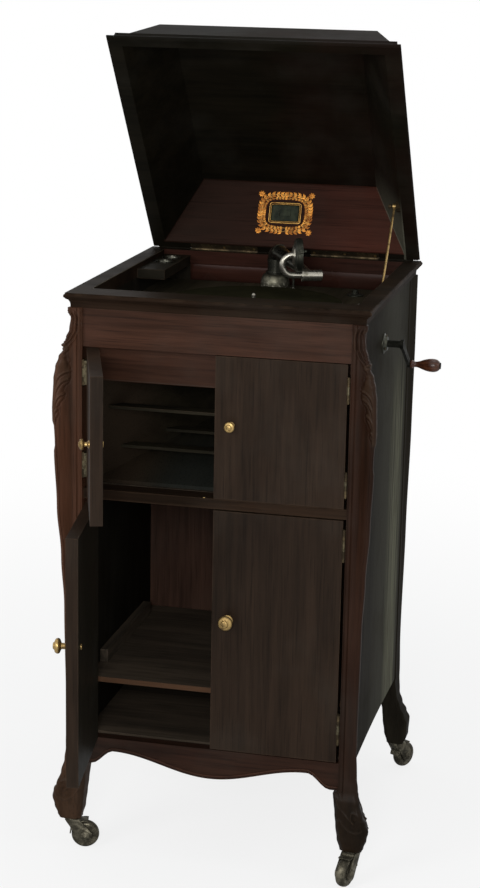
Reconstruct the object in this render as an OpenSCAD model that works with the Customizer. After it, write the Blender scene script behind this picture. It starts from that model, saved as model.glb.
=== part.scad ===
// Floor-standing gramophone cabinet with a domed lid, two pairs of doors and a winding motor.
// The front faces -Y, +Z is up and the origin lies on the floor under the middle of the cabinet.

/* [Cabinet] */
// Width of the opening between the front posts
opening_w = 444; // [420:1:470]
// Depth from the door faces to the back
depth = 508; // [480:1:540]
// Depth of a post
post_d = 40; // [32:1:48]
// Height of the top surface that the lid closes on
top_z = 974; // [950:1:1000]
// Height of the wooden feet above the floor
foot_z = 58; // [54:1:62]
// Thickness of the side panels
panel_t = 16; // [12:1:18]
// Thickness of the back panel
back_t = 12; // [8:1:16]

/* [Top frame] */
// Thickness of the moulded top frame
moulding_h = 24; // [20:1:28]
// How far the top frame stands out beyond the side panels
moulding_out = 14.5; // [12:0.5:17]
// How far the top frame stands out beyond the door faces
moulding_front = 8; // [5:1:12]
// Width of the top frame at the front of the well
frame_front_w = 49; // [40:1:56]

/* [Doors] */
// Thickness of the doors
door_t = 20; // [16:1:22]
// Gap above and below each door
door_gap = 1.5; // [1:0.1:2.5]
// Gap at the hinge side of each door
hinge_gap = 6; // [6:0.1:7]
// Half of the gap between a pair of doors
meeting_gap = 0.75; // [0.5:0.05:1.5]
// Height of the top edge of the front apron
apron_top = 211; // [200:1:225]
// Height of the underside of the mid rail
mid_rail_z = 630; // [600:1:660]
// Thickness of the mid rail
mid_rail_h = 17; // [14:1:22]
// Height of the lower edge of the frieze
frieze_z = 887; // [870:1:900]
// How far the upper left door stands open
upper_left_open = 71; // [40:1:100]
// How far the lower left door stands open
lower_left_open = 81; // [40:1:100]
// Diameter of the upper door knobs
upper_knob_d = 18; // [14:1:22]
// Diameter of the lower door knobs
lower_knob_d = 25; // [20:1:30]
// Distance of a knob from the free edge of its door
knob_inset = 27; // [22:1:40]
// Radius of the door hinge knuckles
knuckle_r = 2.6; // [2.2:0.1:2.6]
// Radius of the hinge pins
hinge_pin_r = 1.2; // [1:0.1:1.4]

/* [Inside] */
// Thickness of the cabinet floor, the horn floor and the inner wall
board_t = 12; // [10:1:15]
// Thickness of the record shelf
shelf_t = 9; // [7:0.5:12]
// Height of the top of the record shelf above the cabinet floor
shelf_rise = 97; // [80:1:120]
// Depth of the record compartment from the door faces
record_depth = 414; // [380:1:430]
// Depth of the motor board below the top surface
board_drop = 54; // [48:1:60]
// Thickness of the motor board
motor_board_t = 14; // [10:1:18]
// Height of the rail above the horn opening
horn_rail_h = 59; // [50:1:66]

/* [Lid] */
// Depth of the lid rim from the hinge line to the front
lid_depth = 497; // [485:1:505]
// Half width of the lid rim
lid_half_w = 248; // [244:1:250]
// Thickness of the lid rim
rim_h = 24; // [20:1:28]
// Height of the dome above the underside of the rim
dome_h = 108; // [104:1:116]
// Inner depth of the lid
lid_inner_h = 100; // [90:1:102]
// How far the lid stands open
lid_open = 52.5; // [40:0.5:58]
// Radius of the lid hinge knuckles
lid_knuckle_r = 3.4; // [3:0.1:3.8]
// Length of each lid hinge
lid_hinge_l = 125; // [90:5:150]
// Distance of each lid hinge from the middle
lid_hinge_x = 112; // [90:1:130]

/* [Lid stay] */
// Distance of the upper stay pivot from the hinge line
stay_u = 130; // [120:1:140]
// Length of the stay rod between its pivots
stay_l = 173.5; // [170:0.5:176]
// Radius of the stay rod
stay_r = 2; // [1.6:0.1:2.4]

/* [Turntable] */
// Radius of the platter
platter_r = 152.4; // [140:0.1:153]
// Thickness of the platter
platter_t = 8; // [6:0.5:9]
// Radius of the record spindle
spindle_r = 3.6; // [3.4:0.05:3.8]
// Height of the spindle above the felt
spindle_h = 14; // [10:1:18]

/* [Tone arm] */
// Length of the arm from its pivot to the cross sleeve
arm_l = 157.7; // [150:0.1:162]
// Radius of the arm at the pivot end
arm_r = 14; // [12:0.5:15]
// Radius of the arm at its far end
arm_tip_r = 9.5; // [8:0.5:10.5]
// Height of the arm's far end below the bracket end
arm_fall = 18; // [14:1:22]
// How far the arm is turned towards the right
arm_turn = 35; // [28:0.5:40]
// Radius of the sound box
sound_box_r = 29; // [26:1:30]
// Thickness of the sound box
sound_box_t = 12.5; // [11:0.5:13]
// Distance between the two legs of the gooseneck tube
neck_span = 35; // [35:0.5:38]

/* [Crank] */
// Height of the crank shaft
crank_z = 882; // [880:1:886]
// Distance of the crank shaft in front of the middle
crank_y = 50; // [45:1:55]
// Length of the crank arm
crank_l = 94; // [85:1:105]
// Slope of the crank arm below the horizontal
crank_slope = 31.5; // [0:0.5:60]

/* [Casters] */
// Radius of the caster wheels
wheel_r = 24; // [21:0.5:24]
// Width of the caster wheels
wheel_w = 19; // [15:0.5:21]
// Trail of the wheels behind the swivel
trail = 24; // [21:0.5:26]

/* [Hidden] */
$fn = 96;

// Clearances
play = 0.05;
seat = 0.3;
slack = 0.6;

// Cabinet faces and levels
front = -depth / 2;
back = depth / 2;
side_in = opening_w / 2;
side_out = side_in + panel_t;
post_back = front + post_d;
panel_y = post_back;
rear_post_y = back - post_d;
mould_z = top_z - moulding_h;
back_in = back - 4 - back_t;
board_z = top_z - board_drop;
board_under = board_z - motor_board_t;
floor_z = apron_top + 3;
mid_rail_top = mid_rail_z + mid_rail_h;
horn_floor_top = mid_rail_top + 1;
shelf_top = floor_z + shelf_rise;
side_bottom = foot_z + 134;
record_back = front + record_depth;
horn_rail_z = frieze_z - horn_rail_h;

// Post outlines: [height above the foot or drop below the top frame, out beyond the opening, proud]
post_foot = [
  [0, 44, 8], [7, 47, 9], [23, 52, 11], [39, 55, 13], [53, 51.5, 17], [64, 46, 19],
  [87, 39, 14], [108, 34.5, 8.5], [130, 32, 7], [205, 29, 8.5]
];
post_head = [
  [507, 31, 10.5], [419, 35, 14], [330, 40.5, 19], [233, 44, 22], [165, 46, 24],
  [116, 44.5, 22], [97, 42, 20], [81, 37.5, 16], [67, 30.5, 12], [60, 32, 14],
  [49, 28, 11], [36, 23.5, 8], [17, 21.5, 6], [0, 26, 8]
];
rear_foot = [
  [0, 33, 8], [14, 39.5, 11], [44, 41, 12], [60, 35, 9], [78, 27.5, 4], [100, 22, 0], [132, 20, 0],
  [212, 18.5, 0]
];
rear_head = [[470, 21, 0], [268, 24, 0], [119, 25, 0], [0, 25, 0]];
// Inside of a leg, and its back face, as [height above the foot, distance]
leg_inside = [[105, 8], [87, 6], [67, 4.5], [47, 2.5], [22, 0], [0, -5]];
leg_back = [[105, 37], [87, 33], [67, 30], [47, 28], [22, 26], [0, 24]];
rear_leg_inside = [[105, 12], [87, 10], [67, 7], [47, 6], [22, 3], [0, -2]];
rear_leg_back = [[134, 49], [105, 44], [87, 41], [67, 38], [47, 35], [22, 32], [0, 28]];
// A front leg grows narrower towards its back: the angle of its outer face, in degrees
leg_lean = 13;
curve_steps = 4;

// Doors
door_edge = side_in - hinge_gap;
lower_door_z = apron_top + door_gap;
lower_door_top = mid_rail_z - door_gap;
upper_door_z = mid_rail_top + door_gap;
upper_door_top = frieze_z - door_gap;
door_axis = [side_in - hinge_gap / 2, front - 5];
leaf_t = 1.6;
leaf_depth = 18;
upper_hinge_h = 40;
lower_hinge_h = 52;
upper_hinge_up = 21;
upper_hinge_down = 21;
lower_hinge_up = 34;
lower_hinge_down = 14;
upper_knob_drop = 113;
lower_knob_drop = 186;
upper_knob_l = 17;
lower_knob_l = 24;
knob_shank_r = 2.5;

// Lid
hinge = [back, top_z];
lid_slope = 0.61;
dome_slope = 0.52;
lid_mid = lid_depth / 2;
well_half_w = side_in;
well_rear = hinge[0] - 18;
well_front = front + frame_front_w;
rim_in_u = lid_mid - 18;
dome_base_half = lid_half_w - 16;
lid_leaf_w = 14;
lid_knuckles = 5;
stay_w = 5;
stay_x = well_half_w - 11;
stay_eye_r = 5;
stay_plate_x = stay_x + 5;
stay_plate_t = 2.5;
guide_margin = 4.5;
slot_steps = 24;
stay_rest_angle = 231.2;
stay_sweep = 34.1;

// Turntable and motor
spin = [5, -10];
platter_z = board_z + 3;
felt_t = 1.5;
felt_top = platter_z + platter_t + felt_t;
shaft_r_low = 4.5;
spindle_tip = 3;
plate_t = 4;
motor_top = board_under - plate_t;
motor_bottom = motor_top - 70;
barrel = [38.2, -50];
barrel_r = 40;
barrel_gear_r = 43.2;
pinion_r = 8.2;
gear_r = 34;
gear_t = 4;
bevel_r = 9.5;
gear_top = crank_z - bevel_r - seat;
governor_gear_r = 25;
governor_x = spin[0] - governor_gear_r - 4;
governor_z = motor_bottom + 51;
governor_ends = [-42, 70];
arbor_r = 5;
plate_from = [-80, -120];
plate_to = [115, 95];
pillar_in = 15;
pillars = [for (x = [plate_from[0] + pillar_in, plate_to[0] - pillar_in],
  y = [plate_from[1] + pillar_in, plate_to[1] - pillar_in]) [x, y]];
crank_x = side_out + 34;
shaft_r = 6;
tube_r = 9;

// Tone arm
arm_pivot = [0, spin[1] + platter_r + 37.6];
arm_z = board_z + 70;
arm_end_z = arm_z - arm_fall;
sleeve_turn = 107.3;
sleeve_l = 30;
sleeve_past = 19;
neck_r = 5.6;
neck_leg = 20;
neck_flange = 3;
needle_turn = -20;
arm_slope = atan(arm_fall / (arm_l - 16));

// Casters: [x, y, swivel angle of the trail]
front_foot_x = side_in + 24;
rear_foot_x = side_in + 18.5;
foot_in = 10;
casters = [
  [-front_foot_x, front + foot_in, 15], [front_foot_x, front + foot_in, 255],
  [-rear_foot_x, back - foot_in, 120], [rear_foot_x, back - foot_in, 60]
];
socket_r = 8;
socket_l = 36;
stem_r = 5;
stem_l = 30;
axle_r = 3;
fork_t = 3;
plate_under = 2;

wood = "#43261c";
door_wood = "#4a3a32";
dark_wood = "#1d1a17";
felt_green = "#20241f";
brass = "#b08d4a";
nickel = "#b9b9ae";
iron = "#4b463d";

// Smooth curve through keys: a cosine ease between each pair of neighbours
function ease(a, b, t) = a + (b - a) * (1 - cos(180 * t)) / 2;
function eased(keys, col) = [
  for (i = [0 : len(keys) - 2], s = [0 : curve_steps - 1])
    [keys[i][0] + (keys[i + 1][0] - keys[i][0]) * s / curve_steps,
     ease(keys[i][col], keys[i + 1][col], s / curve_steps)]
];
function last(v) = v[len(v) - 1];
function raise(keys, z) = [for (k = keys) [z + k[0], k[1], k[2]]];
function hang(keys, z) = [for (k = keys) [z - k[0], k[1], k[2]]];
function outline(foot, head, col) =
  let (keys = concat(raise(foot, foot_z), hang(head, mould_z)))
  concat(eased(keys, col), [[last(keys)[0], last(keys)[col]]]);

// A box between two corners
module block(a, b) translate(a) cube(b - a);

// A profile in (across, up), run along y or x
module run_y(y0, y1) translate([0, y1, 0]) rotate([90, 0, 0]) linear_extrude(y1 - y0) children();
module run_x(x0, x1) translate([x0, 0, 0]) rotate([90, 0, 90]) linear_extrude(x1 - x0) children();

module both_sides() {
  children();
  mirror([1, 0, 0]) children();
}

// ---- Carcass ----
// Right-hand post: the outline seen from the front cut with the outline seen from the side
module corner_post(foot, head, inside, leg) {
  outer = outline(foot, head, 1);
  proud = outline(foot, head, 2);
  inner = [for (k = inside) [side_in - k[1], foot_z + k[0]]];
  back_edge = [for (k = leg) [k[1], foot_z + k[0]]];
  intersection() {
    run_y(-200, 200)
      polygon(concat(
        [for (p = outer) [side_in + p[1], p[0]]],
        [[side_in, mould_z], [side_in, foot_z + inside[0][0]]],
        inner));
    run_x(0, side_in + 100)
      polygon(concat(
        [for (p = proud) [-p[1], p[0]]],
        [[post_d, mould_z], [post_d, side_bottom]],
        back_edge));
  }
}

// Room that a front leg keeps to: its outline turned by the lean about the front corner of the foot
module leg_room() {
  keys = raise(post_foot, foot_z);
  translate([side_in + 40, -12, 0]) rotate([0, 0, leg_lean])
    run_y(-40, 90)
      polygon(concat(
        [[-120, side_bottom + 9], [-120, foot_z - 1], [keys[0][1] / cos(leg_lean) - 40, foot_z - 1]],
        [for (p = eased(keys, 1)) if (p[0] < side_bottom) [p[1] / cos(leg_lean) - 40, p[0]]],
        [[30 / cos(leg_lean) - 40, side_bottom + 9]]));
  block([0, -60, side_bottom], [side_in + 80, 90, mould_z + 1]);
}

module caster_hole(i)
  translate([abs(casters[i][0]), casters[i][1], foot_z - 1]) cylinder(h = socket_l + 1, r = socket_r);

module front_posts() color(wood)
  both_sides()
    difference() {
      translate([0, front, 0])
        intersection() {
          corner_post(post_foot, post_head, leg_inside, leg_back);
          leg_room();
        }
      caster_hole(1);
    }

module rear_posts() color(wood)
  both_sides()
    difference() {
      translate([0, back, 0]) mirror([0, 1, 0])
        corner_post(rear_foot, rear_head, rear_leg_inside, rear_leg_back);
      caster_hole(3);
    }

module side_panel() {
  arch = 6;
  run_x(side_in, side_out)
    polygon(concat(
      [[panel_y, mould_z], [panel_y, side_bottom]],
      [for (t = [0.1 : 0.1 : 0.91])
        [panel_y + (rear_post_y - panel_y) * t, side_bottom + arch * sin(180 * t)]],
      [[rear_post_y, side_bottom], [rear_post_y, mould_z]]));
}

module side_panels() color(dark_wood) {
  difference() {
    side_panel();
    translate([side_in - 1, -crank_y, crank_z]) rotate([0, 90, 0]) cylinder(h = panel_t + 2, r = tube_r);
  }
  mirror([1, 0, 0]) side_panel();
}

module back_panel() color(dark_wood)
  block([-side_in, back_in, side_bottom], [side_in, back_in + back_t, mould_z]);

module front_frieze() color(wood) {
  block([-side_in, front, frieze_z], [side_in, front + door_t + 0.5, mould_z]);
  block([-side_in, front + door_t + 0.5, horn_rail_z], [side_in, post_back, mould_z]);
}

module mid_rail() color(wood)
  block([-side_in, front + 4, mid_rail_z], [side_in, post_back, mid_rail_top]);

// Lower edge of the apron: centre drop, flat crest near the legs, short bracket at each leg
function apron_edge(x) =
  let (drop = 53, crest_x = 168, crest = 23, bracket = 48, end = side_in - 15)
  x < crest_x ? apron_top - ease(drop, crest, x / crest_x)
  : apron_top - ease(crest, bracket, min(1, (x - crest_x) / (end - crest_x)));

module front_apron() color(wood)
  run_y(front, front + door_t)
    polygon(concat(
      [for (i = [-30 : 30]) let (x = side_in * i / 30) [x, apron_edge(abs(x))]],
      [[side_in, apron_top], [-side_in, apron_top]]));

// Moulding section as [out, up], from the underside to the top surface: fillet, cove and rounded lip
lip = 4.2;
function nose(h) = concat(
  [[-9.5, 0], [-9.5, 3]],
  [for (a = [0 : 15 : 75]) [-3.4 - 6.1 * cos(a), 3 + (h - 2 * lip - 5) * sin(a)]],
  [[-3.2, h - 2 * lip - 1.6]],
  [for (a = [-75 : 25 : 75]) [-3.2 + 3.2 * cos(a), h - lip - 0.8 + (lip - 0.6) * sin(a)]],
  [[-2.2, h]]);
function nose_down(h) = let (n = nose(h)) [for (i = [len(n) - 1 : -1 : 0]) [n[i][0], h - n[i][1]]];

module moulded_slab(half_x, y0, y1, z0, h, edge) {
  mid = (y0 + y1) / 2;
  half_y = (y1 - y0) / 2;
  translate([0, mid, z0])
    intersection() {
      run_y(-half_y - 1, half_y + 1)
        polygon(concat([for (p = edge) [half_x + p[0], p[1]]],
          [for (i = [len(edge) - 1 : -1 : 0]) [-half_x - edge[i][0], edge[i][1]]]));
      run_x(-half_x - 1, half_x + 1)
        polygon(concat([for (p = edge) [half_y + p[0], p[1]]],
          [for (i = [len(edge) - 1 : -1 : 0]) [-half_y - edge[i][0], edge[i][1]]]));
    }
}

module lid_hinge_grooves(r)
  for (s = [-1, 1])
    translate([s * lid_hinge_x - lid_hinge_l / 2 - slack, hinge[0], hinge[1]])
      rotate([0, 90, 0]) cylinder(h = lid_hinge_l + 2 * slack, r = r);

module top_moulding() color(wood)
  difference() {
    moulded_slab(side_out + moulding_out, front - moulding_front, back + moulding_front, mould_z, moulding_h,
      nose(moulding_h));
    block([-well_half_w, well_front, mould_z - 1], [well_half_w, well_rear, top_z + 1]);
    lid_hinge_grooves(lid_knuckle_r + seat);
    for (s = [-1, 1])
      translate([s * lid_hinge_x, 0, 0])
        block([-lid_hinge_l / 2, back - lid_leaf_w, top_z - leaf_t], [lid_hinge_l / 2, back, top_z + 1]);
  }

module motor_board() color(dark_wood)
  difference() {
    block([-side_in, post_back, board_under], [side_in, back_in, board_z]);
    translate([spin[0], spin[1], board_under - 1]) cylinder(h = motor_board_t + 2, r = 9);
    translate([arm_pivot[0], arm_pivot[1], board_under - 1]) cylinder(h = motor_board_t + 2, r = elbow_r);
    translate([arm_rest[0], arm_rest[1], board_z - 8]) cylinder(h = 9, r = 2.5);
    translate([brake[0], brake[1], board_z - 8]) cylinder(h = 9, r = brake_pin_r + play);
    translate([speed[0], speed[1], board_z - 8]) cylinder(h = 9, r = speed_pin_r + play);
  }

module horn_floor() color(wood)
  block([-side_in, post_back, horn_floor_top - board_t], [side_in, back_in, horn_floor_top]);

module cabinet_floor() color(dark_wood)
  block([-side_in, front + door_t + 2, floor_z - board_t], [side_in, back_in, floor_z]);

module inner_back() color(wood)
  block([-side_in, record_back, floor_z], [side_in, record_back + board_t, horn_floor_top - board_t]);

module record_shelf() color(dark_wood)
  block([-side_in, front + 25, shelf_top - shelf_t], [side_in, record_back, shelf_top]);

module shelf_battens() color(dark_wood)
  both_sides() {
    block([side_in - 14, front + 99, shelf_top], [side_in, record_back - 46, shelf_top + 22]);
    block([side_in - 12, front + 45, shelf_top - shelf_t - 10],
          [side_in, record_back - 20, shelf_top - shelf_t]);
  }

// ---- Horn ----
horn_front_y = post_back + 5;
horn_back_y = horn_front_y + 330;
horn_t = 6;
horn_half = side_in - horn_t - 4;
horn_throat = 24;
throat_z = horn_floor_top + 112;
elbow_r = 20;
elbow_bend = 30;

// A flat board that tapers from the mouth to the throat, given by its section at each end as [x, z] corners
module horn_board(mouth_lo, mouth_hi, throat_lo, throat_hi) {
  edge = 0.01;
  hull() {
    block([mouth_lo[0], horn_front_y, mouth_lo[1]], [mouth_hi[0], horn_front_y + edge, mouth_hi[1]]);
    block([throat_lo[0], horn_back_y - edge, throat_lo[1]], [throat_hi[0], horn_back_y, throat_hi[1]]);
  }
}

module sound_horn() color(wood) {
  wide = horn_half + horn_t;
  narrow = horn_throat + horn_t;
  low = horn_floor_top + seat;
  top = horn_rail_z - 2;
  down = throat_z - horn_throat;
  up = throat_z + horn_throat;
  horn_board([-wide, low], [wide, low + horn_t], [-narrow, down - horn_t], [narrow, down]);
  horn_board([-wide, top], [wide, top + horn_t], [-narrow, up], [narrow, up + horn_t]);
  both_sides()
    horn_board([horn_half, low + horn_t + play], [wide, top - play],
               [horn_throat, down + play], [narrow, up - play]);
  difference() {
    block([-narrow, horn_back_y + play, down - horn_t], [narrow, horn_back_y + 8, up + horn_t]);
    translate([0, horn_back_y + 10, throat_z]) rotate([90, 0, 0]) cylinder(h = 12, r = elbow_r);
  }
}

// Each slat: [distance behind the horn mouth, height above the horn floor, depth]
louvres = [[22, 122, 26], [48, 50, 26], [140, 60, 24]];

module horn_louvres() color(dark_wood)
  for (s = louvres) {
    slope = (horn_half - horn_throat) / (horn_back_y - horn_front_y);
    y0 = horn_front_y + s[0];
    w0 = horn_half - slope * s[0] - seat;
    w1 = horn_half - slope * (s[0] + s[2]) - seat;
    translate([0, 0, horn_floor_top + s[1]])
      linear_extrude(5)
        polygon([[-w0, y0], [w0, y0], [w1, y0 + s[2]], [-w1, y0 + s[2]]]);
  }

module elbow_tube(r, end) {
  bend_y = arm_pivot[1] - elbow_bend;
  translate([0, bend_y, throat_z]) rotate([90, 0, 0]) cylinder(h = bend_y - horn_back_y + 8 + end, r = r);
  translate([0, bend_y, throat_z + elbow_bend])
    rotate([90, 0, 90]) rotate([0, 0, -90])
      rotate_extrude(angle = 90) translate([elbow_bend, 0]) circle(r = r);
  translate([0, arm_pivot[1], throat_z + elbow_bend])
    cylinder(h = board_z - throat_z - elbow_bend + end, r = r);
}

module horn_elbow() color(iron)
  difference() {
    elbow_tube(elbow_r, 0);
    elbow_tube(elbow_r - 2, 1);
  }

// ---- Needle tray ----
tray_h = 17;
tray_z = top_z - 9 - tray_h;
tray_w = 50;
tray_y = well_rear - 176;
cup_r = 15;
cups = [-38, -86];

module needle_tray() color(dark_wood)
  difference() {
    block([-side_in, tray_y, tray_z], [-side_in + tray_w, well_rear, tray_z + tray_h]);
    for (c = cups)
      translate([-side_in + tray_w / 2, well_rear + c, tray_z + 3]) cylinder(h = tray_h, r = cup_r);
  }

module needle_cups() color(nickel)
  for (c = cups)
    translate([-side_in + tray_w / 2, well_rear + c, tray_z + 3])
      rotate_extrude()
        polygon(concat(
          [[0, 0], [cup_r, 0], [cup_r, tray_h - 3], [cup_r + 2.5, tray_h - 3], [cup_r + 2.5, tray_h - 1.6]],
          [for (a = [0 : 10 : 90]) [(cup_r - 1.2) * cos(a), tray_h - 1.6 - (tray_h - 4.6) * sin(a)]]));

// ---- Tone-arm bracket and posts on the motor board ----
bracket_r = 26;
bracket_h = 30;
arm_rest = arm_pivot + [39.5, -28];
arm_post_h = 30;
brake = spin + (platter_r + 14) * [cos(225), sin(225)];
brake_pin_r = 3;
speed = arm_pivot + [148, -11];
speed_pin_r = 4;

module tone_arm_bracket() color(nickel)
  translate([arm_pivot[0], arm_pivot[1], board_z])
    difference() {
      union() {
        cylinder(h = 4, r = bracket_r + 4);
        rotate_extrude()
          polygon(concat([[0, 0], [bracket_r, 0], [bracket_r, 10]],
            [for (a = [10 : 10 : 90]) [17 + (bracket_r - 17) * cos(a), 10 + (bracket_h - 10) * sin(a)]],
            [[0, bracket_h]]));
      }
      translate([0, 0, -1]) cylinder(h = bracket_h + 2, r = 11);
      translate([0, 0, bracket_h - 18]) cylinder(h = 20, r = arm_r + play);
    }

module arm_post() color(nickel)
  translate([arm_rest[0], arm_rest[1], 0]) {
    translate([0, 0, board_z - 8]) cylinder(h = 8 + arm_post_h, r = 2.5);
    translate([0, 0, board_z]) cylinder(h = 2.5, r = 5.5);
    translate([0, 0, board_z + arm_post_h]) sphere(r = 3.4);
  }

// ---- Door and lid hinges ----
// Knuckles of one leaf along z: every other one of n, with its strip of leaf
module leaf_z(h, n, first, r, side) {
  step = h / n;
  difference() {
    union() {
      for (i = [first : 2 : n - 1])
        translate([0, 0, i * step + (i == 0 ? 0 : 0.1)])
          cylinder(h = step - (i == 0 || i == n - 1 ? 0.1 : 0.2), r = r);
      block([side > 0 ? hinge_gap / 2 - leaf_t : -hinge_gap / 2, 0.5, 0],
            [side > 0 ? hinge_gap / 2 : leaf_t - hinge_gap / 2, 5 + leaf_depth, h]);
    }
    for (i = [1 - first : 2 : n - 1])
      translate([0, 0, i * step - 0.1]) cylinder(h = step + 0.2, r = r + 0.4);
  }
}

// The leaf screwed to the post, with the pin; the axis is the origin and the door lies towards +x
module fixed_leaf(h) {
  leaf_z(h, 3, 0, knuckle_r, -1);
  translate([0, 0, -1.5]) cylinder(h = h + 3, r = hinge_pin_r);
  for (z = [-1.5, h]) translate([0, 0, z]) cylinder(h = 1.5, r = 2);
}

module moving_leaf(h)
  difference() {
    leaf_z(h, 3, 1, knuckle_r, 1);
    translate([0, 0, -1]) cylinder(h = h + 2, r = hinge_pin_r + play);
  }

upper_hinges = [upper_door_z + upper_hinge_up, upper_door_top - upper_hinge_down - upper_hinge_h];
lower_hinges = [lower_door_z + lower_hinge_up, lower_door_top - lower_hinge_down - lower_hinge_h];

module lid_leaf(first, up) {
  step = lid_hinge_l / lid_knuckles;
  difference() {
    union() {
      for (i = [first : 2 : lid_knuckles - 1])
        translate([i * step + 0.1, 0, 0]) rotate([0, 90, 0]) cylinder(h = step - 0.2, r = lid_knuckle_r);
      block([0, -lid_leaf_w, up > 0 ? 0.1 : -leaf_t], [lid_hinge_l, -0.5, up > 0 ? leaf_t : -0.1]);
    }
    for (i = [1 - first : 2 : lid_knuckles - 1])
      translate([i * step - 0.1, 0, 0]) rotate([0, 90, 0]) cylinder(h = step + 0.2, r = lid_knuckle_r + seat);
  }
}

module lid_hinge_places()
  for (s = [-1, 1]) translate([s * lid_hinge_x - lid_hinge_l / 2, hinge[0], hinge[1]]) children();

module hinge_leaves() color(brass) {
  both_sides()
    translate([-door_axis[0], door_axis[1], 0]) {
      for (z = upper_hinges) translate([0, 0, z]) fixed_leaf(upper_hinge_h);
      for (z = lower_hinges) translate([0, 0, z]) fixed_leaf(lower_hinge_h);
    }
  lid_hinge_places() {
    lid_leaf(0, -1);
    rotate([0, 90, 0]) cylinder(h = lid_hinge_l, r = hinge_pin_r);
  }
}

// ---- Lid ----
module lid_pose() translate([0, hinge[0], hinge[1]]) rotate([-lid_open, 0, 0]) children();

// Hollow with sloping walls, in the lid's own frame: x across, -y towards the front, z up
module lid_hollow(top) {
  rise = top + 1;
  half = well_half_w + lid_slope;
  half_u = rim_in_u + lid_slope;
  translate([0, -lid_mid, 0])
    intersection() {
      run_y(-lid_depth, lid_depth)
        polygon([[-half, -1], [half, -1], [half - lid_slope * rise, top], [lid_slope * rise - half, top]]);
      run_x(-lid_depth, lid_depth)
        polygon([[-half_u, -1], [half_u, -1],
          [half_u - lid_slope * rise, top], [lid_slope * rise - half_u, top]]);
    }
}

module dome_block(z0, z1) {
  half = dome_base_half;
  drop = dome_slope * (z1 - z0);
  translate([0, -lid_mid, 0])
    intersection() {
      run_y(-lid_depth, lid_depth) polygon([[-half, z0], [half, z0], [half - drop, z1], [drop - half, z1]]);
      run_x(-lid_depth, lid_depth) polygon([[-half, z0], [half, z0], [half - drop, z1], [drop - half, z1]]);
    }
}

module lid_frame() color(wood)
  lid_pose()
    difference() {
      moulded_slab(lid_half_w, -lid_depth, 0, 0, rim_h, nose_down(rim_h));
      lid_hollow(lid_inner_h);
      for (s = [-1, 1])
        translate([s * lid_hinge_x, 0, 0]) {
          translate([-lid_hinge_l / 2 - slack, 0, 0])
            rotate([0, 90, 0]) cylinder(h = lid_hinge_l + 2 * slack, r = lid_knuckle_r + seat);
          block([-lid_hinge_l / 2, -lid_leaf_w, -1], [lid_hinge_l / 2, 0, leaf_t]);
        }
    }

module lid_dome() color(wood)
  lid_pose()
    difference() {
      dome_block(rim_h, dome_h);
      lid_hollow(lid_inner_h);
    }

stay_up = 5;
module lid_fittings() color(brass)
  lid_pose() {
    for (s = [-1, 1])
      translate([s * lid_hinge_x - lid_hinge_l / 2, 0, 0])
        difference() {
          lid_leaf(1, 1);
          rotate([0, 90, 0]) translate([0, 0, -1]) cylinder(h = lid_hinge_l + 2, r = hinge_pin_r + play);
        }
    wall = well_half_w - lid_slope * stay_up;
    translate([0, -stay_u, stay_up]) {
      difference() {
        block([stay_x + 3.5, -9, -4.5], [well_half_w, 9, 4.5]);
        run_y(-10, 10)
          polygon([[wall + 5 * lid_slope, -5], [wall + 20, -5], [wall + 20, 5], [wall - 5 * lid_slope, 5]]);
      }
      translate([stay_x - 7.5, 0, 0]) rotate([0, 90, 0]) cylinder(h = 12.5, r = stay_r);
      translate([stay_x - 7.5, 0, 0]) sphere(r = 4);
    }
  }

// ---- Lid stay ----
function turn(v, a) = [v[0] * cos(a) - v[1] * sin(a), v[0] * sin(a) + v[1] * cos(a)];
function stay_top(t) = hinge + turn([-stay_u, stay_up], -lid_open * (1 - t));
function stay_foot(t) =
  let (a = stay_rest_angle - stay_sweep * t) stay_top(t) + stay_l * [cos(a), sin(a)];
function slot_side(t, w) =
  let (d = stay_foot(t + 0.01) - stay_foot(t - 0.01), n = [-d[1], d[0]] / norm(d)) stay_foot(t) + w * n;
function round_end(t, from, r) =
  let (d = stay_foot(t + 0.01) - stay_foot(t - 0.01), a0 = atan2(d[1], d[0]))
  [for (a = [from : -20 : from - 180]) stay_foot(t) + r * [cos(a0 + a), sin(a0 + a)]];

module stay_slot(r)
  polygon(concat(
    [for (i = [0 : slot_steps]) slot_side(i / slot_steps, r)],
    round_end(1, 90, r),
    [for (i = [slot_steps : -1 : 0]) slot_side(i / slot_steps, -r)],
    round_end(0, -90, r)));

module stay_guide() color(brass) {
  run_x(stay_plate_x, stay_plate_x + stay_plate_t)
    difference() {
      union() {
        stay_slot(stay_r + seat + guide_margin);
        for (t = [0, 1])
          translate([stay_foot(t)[0] - 9, board_z]) square([18, stay_foot(t)[1] - board_z]);
      }
      stay_slot(stay_r + seat);
    }
  for (t = [0, 1])
    block([stay_plate_x + stay_plate_t, stay_foot(t)[0] - 9, board_z],
          [side_in, stay_foot(t)[0] + 9, board_z + 4]);
}

module stay_rod() color(brass) {
  top = stay_top(0);
  foot = stay_foot(0);
  difference() {
    union() {
      translate([stay_x, foot[0], foot[1]])
        rotate([stay_rest_angle - 270, 0, 0]) cylinder(h = stay_l, r = stay_r);
      for (p = [top, foot])
        translate([stay_x - stay_w / 2, p[0], p[1]]) rotate([0, 90, 0]) cylinder(h = stay_w, r = stay_eye_r);
    }
    translate([stay_x - stay_w, top[0], top[1]])
      rotate([0, 90, 0]) cylinder(h = 2 * stay_w, r = stay_r + play);
  }
  translate([stay_x, foot[0], foot[1]])
    rotate([0, 90, 0]) cylinder(h = stay_plate_x - stay_x + stay_plate_t + 0.3, r = stay_r);
}

// ---- Doors ----
module left_pose(open)
  translate([-door_axis[0], door_axis[1], 0])
    rotate([0, 0, -open]) translate([door_axis[0], -door_axis[1], 0]) children();

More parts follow.
